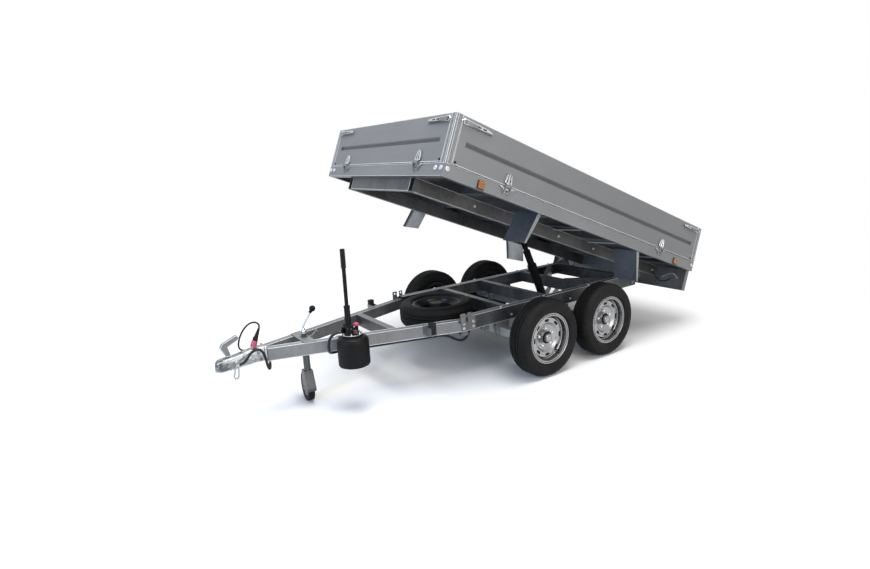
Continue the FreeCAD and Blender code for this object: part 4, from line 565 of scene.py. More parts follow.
# Radius and height of the valve's stem, and its thickness there
VALVE_STEM = ((141, 24, 6.5), (144, 38, 5.5), (148, 50, 4.2), (151, 60, 4.2))
# Radius and height of the rings pressed into the back of the spare's rim
SPARE_RINGS = ((178, 64), (168, 58), (158, 50), (149, 42), (141, 34), (133, 28))
SPARE_PLACE = (745, 0, 417.5)


def make_wheel(end, side):
    """A road wheel's tyre, and its rim's lip, drum, hub cap, bolts and valve."""
    key = end + "_" + side
    body = "wheel_" + key
    outward = 1 if side == "left" else -1
    centre = pin(body + "_spin")
    place = Matrix.Translation(centre) @ MILLIMETRES @ standing((0, 0, 0), (0, outward, 0))
    make_tyre("road_tyre_" + key, body, place, "tyre_" + key)
    trim = Shape(place)
    trim.lathe(RIM_LIP, 0, 96, closed=True)
    trim.lathe(DRUM_FACE, 1, 48, closed=True)
    trim.lathe(HUB_RING, 1, 48, closed=True)
    trim.lathe(HUB_CAP, 3, 40)
    # Dark rings in the rim's grooves and dark patches in its vents: painted shade.
    for groove in RIM_GROOVE_SHADES:
        trim.lathe(groove, 1, 96, closed=True)
    for index in range(VENTS):
        vent = Matrix.Rotation(math.tau * index / VENTS, 4, "Z") @ Matrix.Translation((VENT_RADIUS, 0, 0))
        trim.prism(VENT_SHADE_OUTLINE, 30.5, 32.5, 1, 0.4, vent)
    for index, spot in enumerate(circle(WHEEL_BOLTS, WHEEL_BOLT_RADIUS, HUB_FACE, 0.3)):
        trim.bolt(standing(spot, UP, 12 * index), 9.5, 11, 2)
    stem = [(radius * math.cos(VALVE_TURN), radius * math.sin(VALVE_TURN), height)
            for radius, height, thickness in VALVE_STEM]
    trim.tube(stem, [thickness for radius, height, thickness in VALVE_STEM], 1, 12)
    trim.make("wheel_trim_" + key, body, "rim_silver", "rim", "black", "chrome", "cap")
    split_rim("rim_" + key, centre, Vector((0, outward, 0)))


def split_rim(name, centre, axis):
    """Show the back of a rim dark: its inboard half, and the faces near the middle that turn inboard."""
    mesh = NODES[name].data
    mesh.materials.append(MATERIALS["rim_back"])
    for polygon in mesh.polygons:
        offset = (polygon.center - centre).dot(axis)
        if offset < 0.006 or (offset < 0.030 and polygon.normal.dot(axis) < -0.2):
            polygon.material_index = 1


def make_wheels():
    """The four road wheels and the spare."""
    for end in ("front", "rear"):
        for side in ("left", "right"):
            make_wheel(end, side)
    spare = CHASSIS @ standing(SPARE_PLACE)
    make_tyre("spare_road_tyre", "chassis", spare, "spare_tyre")
    rings = Shape(spare)
    for radius, height in SPARE_RINGS:
        rings.lathe([(radius - 3.4, height - 3), (radius - 2.4, height + 2.2), (radius, height + 3.4),
                     (radius + 2.4, height + 2.2), (radius + 3.4, height - 3)], 0, 96, closed=True)
    rings.lathe([(30, 60), (44, 60), (47, 57), (47, 40), (30, 40)], 0, 40, closed=True)
    rings.make("spare_rim_rings", "chassis", "rim_silver", "black_gloss")


# Boards, posts and tray

# Each board's body, its outer face's frame, half its length and its straps' places along the face
FACES = {
    "front": ("front_board", facing((BED_FRONT, 0, 0), (1, 0, 0)), END_BOARD_HALF,
              (-END_STRAP, END_STRAP)),
    "tail": ("tailboard", facing((BED_REAR, 0, 0), (-1, 0, 0)), END_BOARD_HALF,
             (-END_STRAP, END_STRAP)),
    "left": ("left_board", facing((BED_MIDDLE, BED_HALF, 0), (0, 1, 0)), SIDE_BOARD_HALF,
             (BED_MIDDLE - FRONT_STRAP, BED_MIDDLE - REAR_STRAP)),
    "right": ("right_board", facing((BED_MIDDLE, -BED_HALF, 0), (0, -1, 0)), SIDE_BOARD_HALF,
              (FRONT_STRAP - BED_MIDDLE, REAR_STRAP - BED_MIDDLE)),
}
# A strap's fingers: where each starts and points to, beside the strap's middle, and how high
FINGERS = ((-25, -17, 286), (0, 0, 293), (25, 17, 286))
FINGER_FOOT = 226
# A latch's lever, hook and the dark patches of painted shade over its slots, by the distance from the post,
# the height and the distance out
LATCH_LEVER = ((28, 460), (120, 463), (196, 470), (224, 470), (226, 478), (200, 484), (120, 488), (28, 488))
LATCH_HOOK = ((-14, 470, 9), (4, 484, 12), (30, 486, 12.5), (60, 478, 12))
LATCH_SLOT_SHADES = ((62, 92), (104, 134), (146, 176))


def add_strap(shape, middle, face):
    """A hinge strap's three pointed fingers on the board."""
    for low, high, tip in FINGERS:
        outline = [(middle + low - 7.5, FINGER_FOOT), (middle + low + 7.5, FINGER_FOOT),
                   (middle + high + 2.6, tip - 6), (middle + high, tip), (middle + high - 2.6, tip - 6)]
        shape.prism(outline, 3, 9, 0, 2.2, face)
    shape.box((middle - 13.5, FINGER_FOOT - 4, 3), (middle + 13.5, FINGER_FOOT + 3, 8.5), 0, 2, face)
    for spot in (-12.5, 12.5):
        shape.bolt(face @ standing((middle + spot, FINGER_FOOT + 21, 4.5)), 4.5, 2.5, 1)


def add_foot(shape, middle, face):
    """A hinge's winged foot on the tray, with its nut."""
    wing = [(middle - 16, 168), (middle + 16, 168), (middle + 30, 190), (middle + 62, 201),
            (middle + 60, 206), (middle - 60, 206), (middle - 62, 201), (middle - 30, 190)]
    shape.prism(wing, 2, 6.5, 0, 1.6, face)
    shape.box((middle - 15, 186, 3), (middle + 15, 197, 9), 0, 2, face)
    shape.bolt(face @ standing((middle, 178, 5)), 7, 2.5, 1)


def add_latch(shape, post, toward, face):
    """A lever latch: keep, hook, lever with painted shade over its slots, and finger end."""
    def run(start, end):
        return tuple(sorted((post + toward * start, post + toward * end)))
    left, right = run(2, 40)
    shape.box((left, 458, 2), (right, 492, 12), 0, 2.5, face)
    outline = [(post + toward * along, height) for along, height in LATCH_LEVER]
    shape.prism(outline if toward > 0 else outline[::-1], 7, 14.5, 0, 2.2, face)
    # Dark patches over the lever's slots: painted shade.
    for start, end in LATCH_SLOT_SHADES:
        left, right = run(start, end)
        shape.box((left, 470, 13), (right, 479, 15.4), 1, 0.9, face)
    pivot = face @ standing((post + toward * 47, 474, 0))
    shape.lathe([(9, 12), (9, 15.5), (7, 17), (0.5, 17)], 1, 20, pivot)
    hook = [(post + toward * along, height, out) for along, height, out in LATCH_HOOK]
    shape.tube(bent(hook, 14), 3.2, 0, 10, face)


def make_boards():
    """Fingers, latches, hems and buffers of the four boards, and the feet of their hinges."""
    feet = Shape(BED_PLACE)
    for key, (body, face, half, straps) in FACES.items():
        metal = Shape(BED_PLACE)
        for middle in straps:
            add_strap(metal, middle, face)
            add_foot(feet, middle, face)
        for toward in (-1, 1):
            add_latch(metal, -toward * half, toward, face)
        metal.make("latches_" + key, body, "galvanised_steel", "fitting", "steel_dark")
        # Bright rods along the boards' hems and ends: painted glints.
        hem = Shape(BED_PLACE)
        low, high = BOARD_BOTTOM + 2.5, BOARD_TOP - 2
        hem.tube([(-half, low, -0.5), (half, low, -0.5)], 2.8, 0, 10, face)
        hem.tube([(-half, high, -1.5), (half, high, -1.5)], 1.8, 0, 8, face)
        for end in (-1, 1):
            painted_glint = end * (half - 1)
            hem.tube([(painted_glint, BOARD_BOTTOM + 3, -1.2), (painted_glint, BOARD_TOP - 3, -1.2)], 1.7, 0, 8, face)
            buffer = face @ standing((end * (half - 16), BOARD_BOTTOM + 16, -0.5))
            hem.lathe([(7.5, 0), (7.5, 4), (5.5, 6), (1, 6.2)], 1, 18, buffer)
        hem.make("hems_" + key, body, "board_steel", "painted_glint", "plastic")
    feet.make("hinge_feet", "bed", "galvanised_steel", "fitting", "steel_dark")


def make_groove_shades():
    """Dark bands of painted shade at the bottom of the boards' long grooves."""
    for key, (body, face, half, straps) in FACES.items():
        shape = Shape(BED_PLACE)
        shape.box((-half + 64, 336, -10.4), (half - 64, 364, -9.2), 0, 0.3, face)
        shape.make("groove_" + key, body, "board_steel", "groove_painted_shade")


POST_EDGES = (BOARD_BOTTOM - 7, BOARD_TOP - 1)
# Height and thickness of the folds along the tray's rails, drawn as bright rods: painted glints
TRAY_FOLDS = ((TRAY_BOTTOM + 78.5, 2.4), (TRAY_BOTTOM + 2, 1.8))
BOSS_HEIGHT = TRAY_BOTTOM + 48
BOSS_PROFILE = ((15.5, -1), (15.5, 3.5), (13.5, 5.5), (7.5, 6.5), (6.5, 4.5), (1, 4.5))


def make_posts():
    """Folded edges and round bosses of the corner posts and the tray's rails, in a bright finish that
    paints glints on them.
    """
    shape = Shape(BED_PLACE)
    low, high = POST_EDGES
    for forward in (-1, 1):
        outer = BED_FRONT if forward > 0 else BED_REAR
        for side in (-1, 1):
            # Each fold's distance behind the end face and from the bed's middle, and its thickness
            for behind, across, width in ((1.5, 798.5, 2.4), (46, 799.5, 1.5), (0.5, 754, 1.5),
                                          (16, 799.8, 1.5), (0.2, 784, 1.5)):
                x = outer - forward * behind
                shape.tube([(x, side * across, low), (x, side * across, high)], width, 0, 8)
            for x, y, axis in ((outer - forward * 26, side * BED_HALF, (0, side, 0)),
                               (outer, side * 772, (forward, 0, 0)),
                               (outer, side * 716, (forward, 0, 0))):
                shape.lathe(BOSS_PROFILE, 0, 26, standing((x, y, BOSS_HEIGHT), axis))
            y = side * (BED_HALF - 0.4)
            for height, width in TRAY_FOLDS:
                shape.tube([(BED_REAR + 6, y, height), (BED_FRONT - 5, y, height)], width, 0, 8)
        x = outer - forward * 0.6
        for height, width in TRAY_FOLDS:
            shape.tube([(x, -BED_HALF + 2, height), (x, BED_HALF - 2, height)], width, 0, 8)
    shape.make("post_and_tray_edges", "bed", "board_steel", "painted_glint")


# Lamps

SIDE_LAMPS = (2225, 41)
TAIL_LAMP = 630
REFLECTOR = 440
# A tail lamp's lenses: left, right and material
TAIL_LENSES = ((-101, -35, 2), (-32, 32, 3), (35, 101, 4))


def make_lamps_and_plate():
    """Side markers, tail lamps with their three lenses, a bare number plate and reflectors."""
    shape = Shape(BED_PLACE)
    for side in (-1, 1):
        for middle in SIDE_LAMPS:
            face = facing((middle, side * BED_HALF, 0), (0, side, 0))
            shape.box((-28, 132, 0), (28, 186, 4), 1, 1.5, face)
            shape.box((-25, 135, 3), (25, 183, 11.5), 0, 3, face)
            for column in range(3):
                for row in range(3):
                    left = -21 + column * 14.6
                    low = 139 + row * 14
                    shape.box((left, low, 10.6), (left + 12, low + 11.4, 13.6), 2, 1.6, face)
        face = facing((BED_REAR, side * TAIL_LAMP, 0), (-1, 0, 0), side)
        shape.box((-105, -2, 0), (105, 86, 20), 1, 3, face)
        for left, right, mark in TAIL_LENSES:
            shape.box((left, 2, 18), (right, 82, 28.5), mark, 4, face)
            for row in range(6):
                low = 8 + row * 12
                shape.box((left + 5, low, 27.4), (right - 5, low + 8, 30), mark, 1.2, face)
    face = facing((BED_REAR, 0, 0), (-1, 0, 0))
    shape.box((-260, -34, 0), (260, 76, 3), 5, 1.2, face)
    shape.box((-256, -30, 2.4), (256, 72, 3.6), 6, 0.4, face)
    shape.box((-45, 84, 0), (45, 104, 22), 1, 3, face)
    shape.box((-38, 79, 4), (38, 85, 18), 4, 1, face)
    for spot in (-REFLECTOR, REFLECTOR):
        triangle = [(spot - 42, -20), (spot + 42, -20), (spot, 53)]
        shape.prism(triangle, 0, 7, 3, 2, face)
    shape.make("lamps_and_plate", "bed", "lamp_lens", "amber", "plastic", "amber_bright", "red_lens",
               "white_lens", "plastic", "plate_blank", stands_for="lamps")


LOOM = ((-240, 630, 44), (-226, 632, 40), (-222, 600, 14), (-224, 540, -6), (-220, 480, 30),
        (-196, 455, 74), (-150, 455, 96))
LAMP_LEAD = ((-240, 690, 52), (-224, 690, 50), (-221, 666, 78), (-222, 630, 84), (-222, 590, 66),
             (-224, 545, 40))


def make_looms():
    """Lamp leads clipped behind the light panel."""
    shape = Shape(BED_PLACE)
    for side in (-1, 1):
        for line, round_off, width, mark in ((LOOM, 26, 4, 0), (LAMP_LEAD, 20, 3, 1)):
            shape.tube(bent([(x, side * y, z) for x, y, z in line], round_off), width, mark, 8)
    shape.make("lamp_looms", "bed", "hose_black", "hose", "plate_blank")


# Pump, jockey wheel and coupling

PUMP = (1600, 318, 0)
# Radius and height of the tank, and of its collar, head and release knob
TANK = ((20, 300), (90, 300), (97, 303), (100.5, 310), (101, 320), (101, 452), (100, 463),
        (96.5, 474), (90, 482), (80, 487.5), (68, 490), (64.5, 492), (64.5, 504), (60, 506), (20, 506))
TANK_RINGS = (334, 372, 410)
COLLAR = ((58, 505), (65.5, 505), (67, 506.5), (65.5, 508.5), (58, 508.5))
HEAD = ((34, 506), (34, 512), (30, 516), (24, 518), (24, 523))
KNOB_PLACE = (1580, 345, 0)
KNOB = ((5, 552), (6, 557), (13, 559), (17.2, 562), (18, 567), (17.2, 573), (13, 578), (4, 580))
LUG = ((1603, 545), (1641, 545), (1641, 556), (1632, 570), (1612, 570), (1603, 556))


def make_tank():
    """The pump's tank with its rounded shoulder, collar ring and bolts."""
    tank = Shape()
    centre = standing(PUMP)
    tank.lathe(TANK, 0, 72, centre)
    for height in TANK_RINGS:
        tank.lathe([(100.6, height - 1.6), (101.6, height), (100.6, height + 1.6)], 0, 72, centre, True)
    tank.lathe(COLLAR, 1, 56, centre, True)
    for step, spot in enumerate(circle(6, 56, 507.5)):
        tank.bolt(centre @ standing(spot, UP, 20 * step), 6.5, 6, 1)
    tank.box((1662, 262, 480), (1688, 284, 500), 1, 3)
    tank.make("pump_tank", "chassis", "black_steel", "black", "fitting", stands_for="pump_reservoir")


def make_pump_head():
    """The pump's valves, port, pivot pin and lugs."""
    head = Shape()
    head.lathe(HEAD, 1, 32, standing(PUMP))
    head.box((1587, 352, 512), (1611, 372, 540), 1, 3)
    head.lathe([(9, 0), (9, 12), (7, 14), (7, 20)], 2, 20, standing((1600, 371, 527), (0, 1, 0)))
    port = standing((1652, 288, 524), (1, 0, 0))
    head.lathe([(10, 0), (10, 14), (8, 16)], 3, 6, port)
    head.lathe([(11.5, 14), (11.5, 20), (9.5, 24)], 2, 24, port)
    for y in (289, 347):
        head.bolt(standing((1640, y, 551.5)), 5.5, 4, 2)
    head.lathe([(6, 0), (6, 84), (4, 86)], 2, 16, standing((1622, 276, 548), (0, 1, 0)))
    for y in (290, 340):
        head.prism(LUG, -4, 4, 1, 1.5, facing((0, y, 0), (0, -1, 0)))
    head.make("pump_valves", "chassis", "black_steel", "black", "red_dark", "steel_dark", "chrome")


def make_knob():
    """The pump's release knob, with notches for the fingers."""
    knob = Shape()
    rings = []
    for radius, height in KNOB:
        ring = circle(48, radius, height)
        if radius > 12:
            notched = circle(48, radius - 1.3, height)
            ring = [notched[step] if step % 6 in (0, 1) else ring[step] for step in range(48)]
        rings.append(ring)
    knob.loft(rings, 0, False, standing(KNOB_PLACE))
    knob.make("pump_release_knob", "chassis", "red_plastic", "red", stands_for="pump_knob")


LEVER_PIN = (1622, 318, 548)
LEVER_LEAN = math.radians(-0.5)


def make_lever():
    """Collars, pinch bolts and the ribbed grip of the pump's lever."""
    lever = Shape()
    place = standing(LEVER_PIN, (math.sin(LEVER_LEAN), 0, math.cos(LEVER_LEAN)))
    for height, reach in ((20, 21.5), (60, 20.5), (136, 21)):
        collar = [(18, height), (reach, height + 1.5), (reach, height + 7), (18, height + 8.5)]
        lever.lathe(collar, 0, 28, place)
    for height in (78, 116):
        lever.bolt(place @ standing((18.5, 0, height), (1, 0, 0)), 5.5, 4, 1)
    for index in range(11):
        height = 386 + index * 10.4
        lever.lathe([(14.6, height), (16, height + 2), (16, height + 6), (14.6, height + 8)], 2, 24, place)
    lever.make("lever_parts", "pump_lever_body", "black_steel", "black", "steel_dark", "plastic")


JOCKEY = Vector((1800, 0, 0))
CRANK_ELBOW = 540
CRANK_BALL = Vector((1725, 0, 634))
BALL_RADIUS = 20.8
JOCKEY_AXLE = Vector((1796, -37.8, 100))
JOCKEY_AIM = math.radians(174)
SPOKES = 6


def make_crank():
    """The crank's ball, and the spindle's collar."""
    crank = Shape()
    elbow = JOCKEY + Vector((0, 0, CRANK_ELBOW))
    turns = [math.pi * step / 14 for step in range(1, 13)]
    ball = [(BALL_RADIUS * math.sin(turn), -BALL_RADIUS * math.cos(turn)) for turn in turns]
    profile = [(0.6, -BALL_RADIUS)] + ball + [(11, 19), (10.5, 31), (8.5, 33)]
    crank.lathe(profile, 0, 32, standing(CRANK_BALL, (elbow - CRANK_BALL).normalized()))
    crank.make("crank_ball", "chassis", "black_steel", "black")
    neck = Shape()
    upright = standing(JOCKEY)
    collar = [(18, 488), (20.5, 490), (20.5, 499), (16, 503), (11, 504), (11, 512), (8.6, 514)]
    neck.lathe(collar, 0, 32, upright)
    neck.lathe([(24.9, 426), (26.8, 427), (26.8, 431), (24.9, 432)], 0, 32, upright, True)
    neck.make("crank_collar", "chassis", "galvanised_steel", "chrome")


def make_jockey_wheel():
    """The jockey wheel's hub, spokes and rim ring, on both sides."""
    hub = Shape()
    wheel = standing(JOCKEY_AXLE, (math.cos(JOCKEY_AIM), math.sin(JOCKEY_AIM), 0))
    for direction in (-1, 1):
        face = wheel @ standing((0, 0, 0), (0, 0, direction))
        hub.lathe([(8, 0), (16, 0), (16, 18.5), (13, 20.2), (8, 20.2)], 0, 28, face, True)
        for step in range(SPOKES):
            spoke = face @ Matrix.Rotation(math.tau * step / SPOKES, 4, "Z")
            hub.prism([(14, -5), (54, -7.5), (54, 7.5), (14, 5)], 6, 12.5, 0, 1.6, spoke)
        hub.lathe([(52, 8), (58, 8), (60, 15), (57, 16.5), (53, 14)], 0, 48, face, True)
    hub.make("jockey_wheel_spokes", "jockey_wheel", "rim_silver", "rim")


# Places along the coupling: half width, top and bottom of its pressed shell
COUPLING_STATIONS = (
    (2075, 43.5, 466, 377), (2110, 43.5, 466, 377), (2150, 43, 463, 375), (2200, 42, 452, 371),
    (2250, 41, 444, 367), (2290, 40.5, 440, 364), (2325, 40, 438, 363), (2345, 35.5, 433, 363),
    (2355, 27, 426, 365), (2361, 17, 416, 369), (2363.5, 4, 404, 374))
SHELL_WALL = 3.2
SOCKET_X = 2330.5
SOCKET = ((26, 364.5), (36, 364.5), (36, 400), (30, 424), (10, 432), (10, 428), (24, 419), (26, 400))
# The handle's outline, ahead and up, and half its width
HANDLE = ((2268, 448), (2298, 448), (2324, 506), (2312, 528), (2222, 566), (2210, 542), (2284, 506))
HANDLE_HALF = 13.5


def shell_ring(x, half, top, bottom):
    """One section of the coupling's shell: out over the top and back inside."""
    def arch(wide, high):
        made = []
        for step in range(17):
            turn = math.pi * step / 16
            across = math.copysign(abs(math.cos(turn)) ** 0.45, math.cos(turn))
            rise = math.sin(turn) ** 0.5
            made.append((x, wide * across, bottom + (high - bottom) * rise))
        return made
    inner = arch(max(half - SHELL_WALL, 0.6), top - SHELL_WALL)
    return arch(half, top) + inner[::-1]


def make_coupling():
    """The coupling's pressed shell with its rolled edges, flange, socket, rivets and bolts."""
    shell = Shape()
    shell.loft([shell_ring(*station) for station in COUPLING_STATIONS], 0)
    for side in (-1, 1):
        # Bright rods along the rolled edges and the crease: painted glints.
        painted_glint = [(x, side * (half + 1.2), bottom + 1.5) for x, half, top, bottom in COUPLING_STATIONS]
        shell.tube(painted_glint, 3, 1, 10)
        crease = [(x, side * half * 0.86, bottom + (top - bottom) * 0.845)
                  for x, half, top, bottom in COUPLING_STATIONS[:-2]]
        shell.tube(crease, 3, 1, 10)
        for x in (2098, 2170):
            shell.bolt(standing((x, side * 43, 418), (0, side, 0)), 9.5, 8, 1)
        rivet = standing((2250, side * 41, 410), (0, side, 0))
        shell.lathe([(8, 0), (8, 3), (5, 5), (0.6, 5.4)], 1, 20, rivet)
    shell.box((2062, -52, 372), (2075, 52, 466), 0, 2.5)
    shell.lathe(SOCKET, 0, 40, standing((SOCKET_X, 0, 0)), True)
    shell.make("coupling_shell", "chassis", "galvanised_steel", "shell", "painted_glint", stands_for="coupling_head")


def make_handle_edges():
    """Folded edges round the coupling's handle, as bright rods that paint glints."""
    edges = Shape()
    for side in (-1, 1):
        edges.tube(bent([(x, side * HANDLE_HALF, z) for x, z in HANDLE], 8), 2.6, 0, 10)
    edges.make("handle_edges", "chassis", "galvanised_steel", "painted_glint")


PLUG_AXIS = Vector((10.5, 0, -23.7)).normalized()
PLUG_START = Vector((2089.4, 20, 578.4))


def make_plug():
    """The lighting plug: ribbed black boot, faded red body with its rings, and a black cap."""
    plug = Shape()
    place = standing(PLUG_START, PLUG_AXIS)
    boot = [(6.4, -6), (7, 0)]
    for index in range(7):
        base = 4 + index * 10
        reach = 8.0 + index * 1.15
        boot += [(reach, base), (reach + 0.9, base + 4.5), (reach, base + 8.5)]
    boot += [(16.4, 74), (15.5, 76)]
    plug.lathe(boot, 0, 28, place)
    body = [(15, 75), (17.6, 77), (18, 80), (18, 88), (16.6, 89), (16.6, 92), (18, 93), (18, 103),
            (16.8, 104), (16.8, 107), (18, 108), (18, 113), (16.5, 115), (12, 115)]
    plug.lathe(body, 1, 28, place)
    for step in range(6):
        rib = place @ Matrix.Rotation(math.tau * step / 6, 4, "Z")
        plug.box((17, -2, 79), (19, 2, 112), 1, 0.6, rib)
    cap = place @ standing((-20, -6, 66), (1, 0.2, 0.25))
    plug.lathe([(15, -5), (16.5, -3.5), (16.5, 4), (13, 7), (4, 8)], 0, 28, cap)
    return plug.make("trailer_plug", "chassis", "plug_shell", "plastic", "pink", stands_for="plug")


# Chassis detail

# Rails and drawbar beams, from end to end, and how fast the beams come together
RAIL_REAR = -1094
RAIL_FRONT = 814
BEAM_REAR = 816
BEAM_FRONT = 2060
BEAM_SLOPE = 0.31516
# Distance from the middle and height of each bright rod that paints a glint along the rails' and beams'
# edges
RAIL_EDGES = ((447.2, 468.2), (398.8, 468.2), (447.2, 369.8))
BEAM_EDGES = ((451.4, 451.2), (451.4, 372.8), (400.5, 451.2))


def make_chassis_edges():
    """Painted glints: bright rods along the edges of the rails and of the drawbar's beams."""
    shape = Shape()
    for side in (-1, 1):
        for y, z in RAIL_EDGES:
            shape.tube([(RAIL_REAR, side * y, z), (RAIL_FRONT, side * y, z)], 2.4, 0, 8)
        for y, z in BEAM_EDGES:
            end = y - (BEAM_FRONT + 2 - BEAM_REAR) * BEAM_SLOPE
            shape.tube([(BEAM_REAR, side * y, z), (BEAM_FRONT, side * end, z)], 2.5, 0, 8)
        shape.tube([(BEAM_REAR, side * 450, 370), (BEAM_REAR, side * 450, 467)], 2, 0, 8)
    shape.make("chassis_edges", "chassis", "galvanised_steel", "painted_glint")


def make_chassis_bolts():
    """Bolts along the rails, the plates that join the rails to the drawbar, and the axles' clamps."""
    shape = Shape()
    for side in (-1, 1):
        for x in (465, 28, -481, -900):
            shape.bolt(standing((x, side * 436, 468.6)), 10, 8, 0)
        low, high = sorted((side * 448, side * 453))
        shape.box((716, low, 374), (838, high, 464), 1, 2)
        for x in (735, 820):
            for z in (392, 428):
                shape.bolt(standing((x, side * 453, z), (0, side, 0)), 9, 7, 0)
        for x in (-315, 315):
            for reach in (-62, 62):
                shape.bolt(standing((x + reach, side * 448, 402), (0, side, 0)), 9, 7, 0)
    shape.make("chassis_bolts", "chassis", "galvanised_steel", "fitting", "frame")


# Height of the bright rods that paint glints along the bed's beams, and their thickness
BEAM_FOLDS = ((39, 2), (127, 1.6))
STRUTS = (1560, 1180, 760, 260)


def make_bed_bolts():
    """Bolts, struts and stiffening lips under the bed; the folds, struts and lips in a bright finish that
    paints glints.
    """
    shape = Shape(BED_PLACE)
    for side in (-1, 1):
        for x in range(-180, 2400, 430):
            shape.bolt(standing((x, side * 460, 84), (0, side, 0)), 8, 6, 0)
        for z, width in BEAM_FOLDS:
            shape.tube([(-240, side * 459.2, z), (2470, side * 459.2, z)], width, 1, 8)
        for x in STRUTS:
            shape.tube([(x, side * 462, 118), (x + 20, side * 792, 134)], 5, 1, 10)
        shape.tube([(2479.4, side * 409, 44), (2479.4, side * 409, 126)], 1.6, 1, 8)
    shape.tube([(2479.4, -409, 43), (2479.4, 409, 43)], 2, 1, 8)
    shape.make("bed_bolts_and_struts", "bed", "galvanised_steel", "fitting", "painted_glint")


def paint_flap_highlights():
    """Paint a highlight on the mudflaps' outward faces, and on the right-hand flaps' forward faces."""
    mesh = NODES["mudflaps"].data
    mesh.materials.append(MATERIALS["flange"])
    for polygon in mesh.polygons:
        outboard = math.copysign(1, polygon.center.y) * polygon.normal.y
        if outboard > 0.7 or (polygon.center.y < 0 and polygon.normal.x > 0.3):
            polygon.material_index = 1


def paint_rail_side_shade():
    """Paint shade on the upright faces of the rails, cross members and braces: darker zinc than on their
    flanges.
    """
    for name in ("chassis_rails", "cross_members", "rail_braces"):
        mesh = NODES[name].data
        mesh.materials.append(MATERIALS["rail_web"])
        for polygon in mesh.polygons:
            if abs(polygon.normal.z) < 0.5:
                polygon.material_index = 1


# Cords

def route(points):
    """A cord's points, given in millimetres ahead of the axles, left and up."""
    return [Vector((AXLES_X + x / 1000, y / 1000, z / 1000)) for x, y, z in points]


HOSE_ROUTE = [
    (1672, 288, 524), (1708, 288, 524), (1738, 284, 498), (1744, 272, 456), (1736, 246, 416),
    (1718, 208, 382), (1692, 174, 361), (1652, 161, 357), (1590, 180, 359), (1430, 231, 357),
    (1250, 291, 360), (1090, 340, 357), (985, 376, 362), (925, 394, 352), (878, 401, 322),
    (836, 404, 297), (793, 402, 292), (758, 398, 310), (735, 393, 345), (706, 387, 375),
    (650, 381, 388), (570, 378, 376), (490, 377, 357), (395, 379, 350), (250, 376, 352),
    (80, 379, 350), (-80, 376, 352), (-220, 375, 349), (-310, 356, 342), (-362, 312, 322),
    (-396, 250, 295), (-414, 186, 266), (-420, 136, 250), (-420, 88.2, 250)]
SAFETY_ROUTE = [
    (2050, 44, 360), (2050, 44, 338), (2060, 64, 322), (2074, 88, 334), (2083, 98, 366),
    (2090, 101, 410), (2099, 101, 447), (2118, 100, 474), (2147, 97, 478), (2178, 94, 456),
    (2202, 92, 424), (2222, 90, 406), (2245.8, 90, 406)]
PLUG_ROUTE = [
    (2030, -83.2, 412), (2030, -104, 412), (2048, -122, 413), (2082, -126, 416), (2120, -118, 419),
    (2156, -102, 424), (2186, -80, 438), (2204, -58, 470), (2202, -42, 510), (2188, -32, 552),
    (2164, -22, 592), (2132, -10, 620), (2098, 6, 624), (2078.9, 20, 602.1), (2089.4, 20, 578.4)]
# Each cord's route, diameter and length in metres, far end, stiffness and node
CORDS = {
    "pump_hose": (HOSE_ROUTE, 0.018, 2.677, "object", "stiff", "hydraulic_hose"),
    "breakaway_cable": (SAFETY_ROUTE, 0.017, 0.379, "fitting", "medium", "safety_cable"),
    "lighting_cable": (PLUG_ROUTE, 0.011, 0.508, "plug", "medium", "plug_cable"),
}


def cord_curve(name, points, diameter, stands_for):
    """A cord as one smooth curve on its route's points."""
    data = bpy.data.curves.new(name, "CURVE")
    data.dimensions = "3D"
    data.resolution_u = 6
    data.bevel_depth = diameter / 2
    data.bevel_resolution = 4
    data.use_fill_caps = True
    spline = data.splines.new("NURBS")
    spline.points.add(len(points) - 1)
    for target, place in zip(spline.points, points):
        target.co = (*place, 1)
    spline.order_u = 3
    spline.use_endpoint_u = True
    data.materials.append(MATERIALS["hose"])
    cord = placed(name, data)
    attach(cord, "chassis")
    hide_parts(stands_for)
    return cord


def make_cords(plug):
    """The pump's hose, the breakaway cable with its hook and the lighting cable with its plug."""
    for name, (points, diameter, length, far_end, stiffness, node) in CORDS.items():
        line = route(points)
        cord = cord_curve(name, line, diameter, node)


# Floor, backdrop and lamps

FLOOR_HALF = 40.0
FLOOR_CLEAR = 1.6
FLOOR_FAR = 4.2
FLOOR_LEVEL = 0.93
FLOOR_BOUNCE = 0.16
GLOW_BOUNCE = 0.22
WORLD_BOUNCE = 0.42


def camera_or_mirror(tree):
    """1 for what the camera, a reflection or a refraction sees, and 0 for plain bounced light."""
    path = add(tree, "LightPath").outputs
    seen = sum_of(path["Is Camera Ray"], path["Is Glossy Ray"], "MAXIMUM")
    return sum_of(seen, path["Is Transmission Ray"], "MAXIMUM")


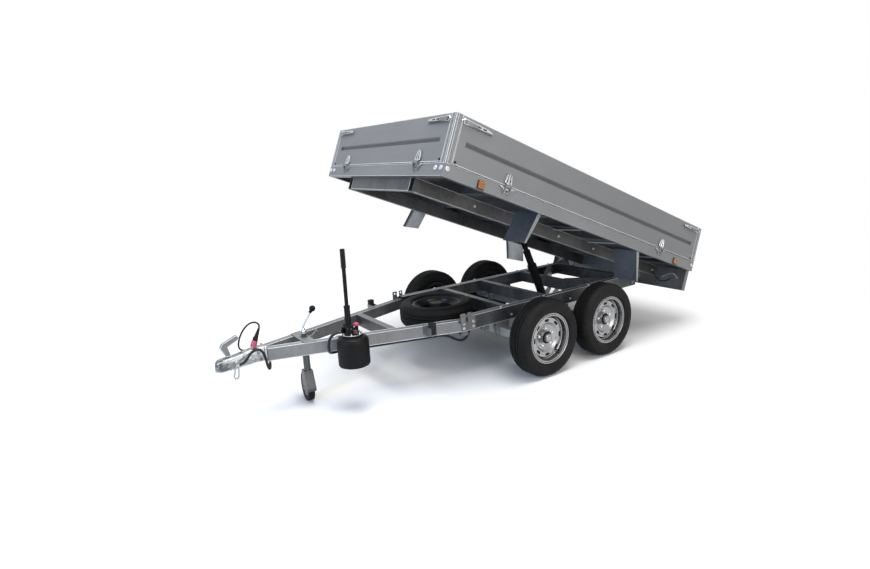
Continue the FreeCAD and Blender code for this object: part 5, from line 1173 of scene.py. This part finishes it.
def make_floor():
    """A pale floor that keeps the trailer's shadow and fades to white far from it."""
    mesh = bpy.data.meshes.new("floor")
    corners = [(-FLOOR_HALF, -FLOOR_HALF, 0), (FLOOR_HALF, -FLOOR_HALF, 0),
               (FLOOR_HALF, FLOOR_HALF, 0), (-FLOOR_HALF, FLOOR_HALF, 0)]
    mesh.from_pydata(corners, [], [(0, 1, 2, 3)])
    material = bpy.data.materials.new("floor")
    tree = empty_tree(material)
    seen = camera_or_mirror(tree)
    shade = mix_colour(seen, grey(FLOOR_BOUNCE), grey(FLOOR_LEVEL))
    plain = add(tree, "BsdfDiffuse", {"Color": shade})
    strength = ramp(seen, 0, 1, GLOW_BOUNCE, 1)
    glow = add(tree, "Emission", {"Color": grey(1), "Strength": strength})
    place = add(tree, "TexCoord").outputs["Object"]
    distance = add(tree, "VectorMath", {0: place}, operation="LENGTH").outputs["Value"]
    far = ramp(distance, FLOOR_CLEAR, FLOOR_FAR)
    both = add(tree, "MixShader", {0: far, 1: plain.outputs[0], 2: glow.outputs[0]})
    add(tree, "OutputMaterial", {"Surface": both.outputs[0]})
    mesh.materials.append(material)
    placed("floor", mesh)


def make_world():
    """A white surround, which lights the trailer less than it shows."""
    world = bpy.data.worlds.new("studio")
    bpy.context.scene.world = world
    tree = empty_tree(world)
    strength = ramp(camera_or_mirror(tree), 0, 1, WORLD_BOUNCE, 1)
    light = add(tree, "Background", {"Color": grey(1), "Strength": strength})
    add(tree, "OutputWorld", {"Surface": light.outputs[0]})


# Name, place, aim, width, power and colour
LAMPS = (
    ("overhead", (0, 0.6, 5.5), (0, 0, 0.5), 5, 440, (1, 0.99, 0.98)),
    ("left_side", (0.5, 5.5, 2.2), (0, 0, 0.7), 3.6, 120, (1, 0.99, 0.97)),
    ("front", (6, 1, 2), (0, 0, 0.8), 3.6, 165, (0.40, 0.62, 1)),
)


def make_lamps():
    """Large soft lamps overhead, at the left and in front."""
    for name, place, aim, width, power, colour in LAMPS:
        data = bpy.data.lights.new(name, "AREA")
        data.shape = "DISK"
        data.size = width
        data.energy = power
        data.color = colour
        lamp = placed(name, data)
        lamp.location = place
        lamp.rotation_mode = "QUATERNION"
        lamp.rotation_quaternion = (Vector(aim) - Vector(place)).to_track_quat("-Z", "Y")


make_camera()
make_floor()
make_world()
make_lamps()
dress_frame()
make_cords(make_plug())
make_wheels()
make_boards()
make_groove_shades()
make_posts()
make_lamps_and_plate()
make_looms()
make_tank()
make_pump_head()
make_knob()
make_lever()
make_crank()
make_jockey_wheel()
make_coupling()
make_handle_edges()
make_chassis_edges()
make_chassis_bolts()
make_bed_bolts()
paint_rail_side_shade()
paint_flap_highlights()

bpy.context.scene.view_settings.view_transform = "Standard"
bpy.context.view_layer.update()
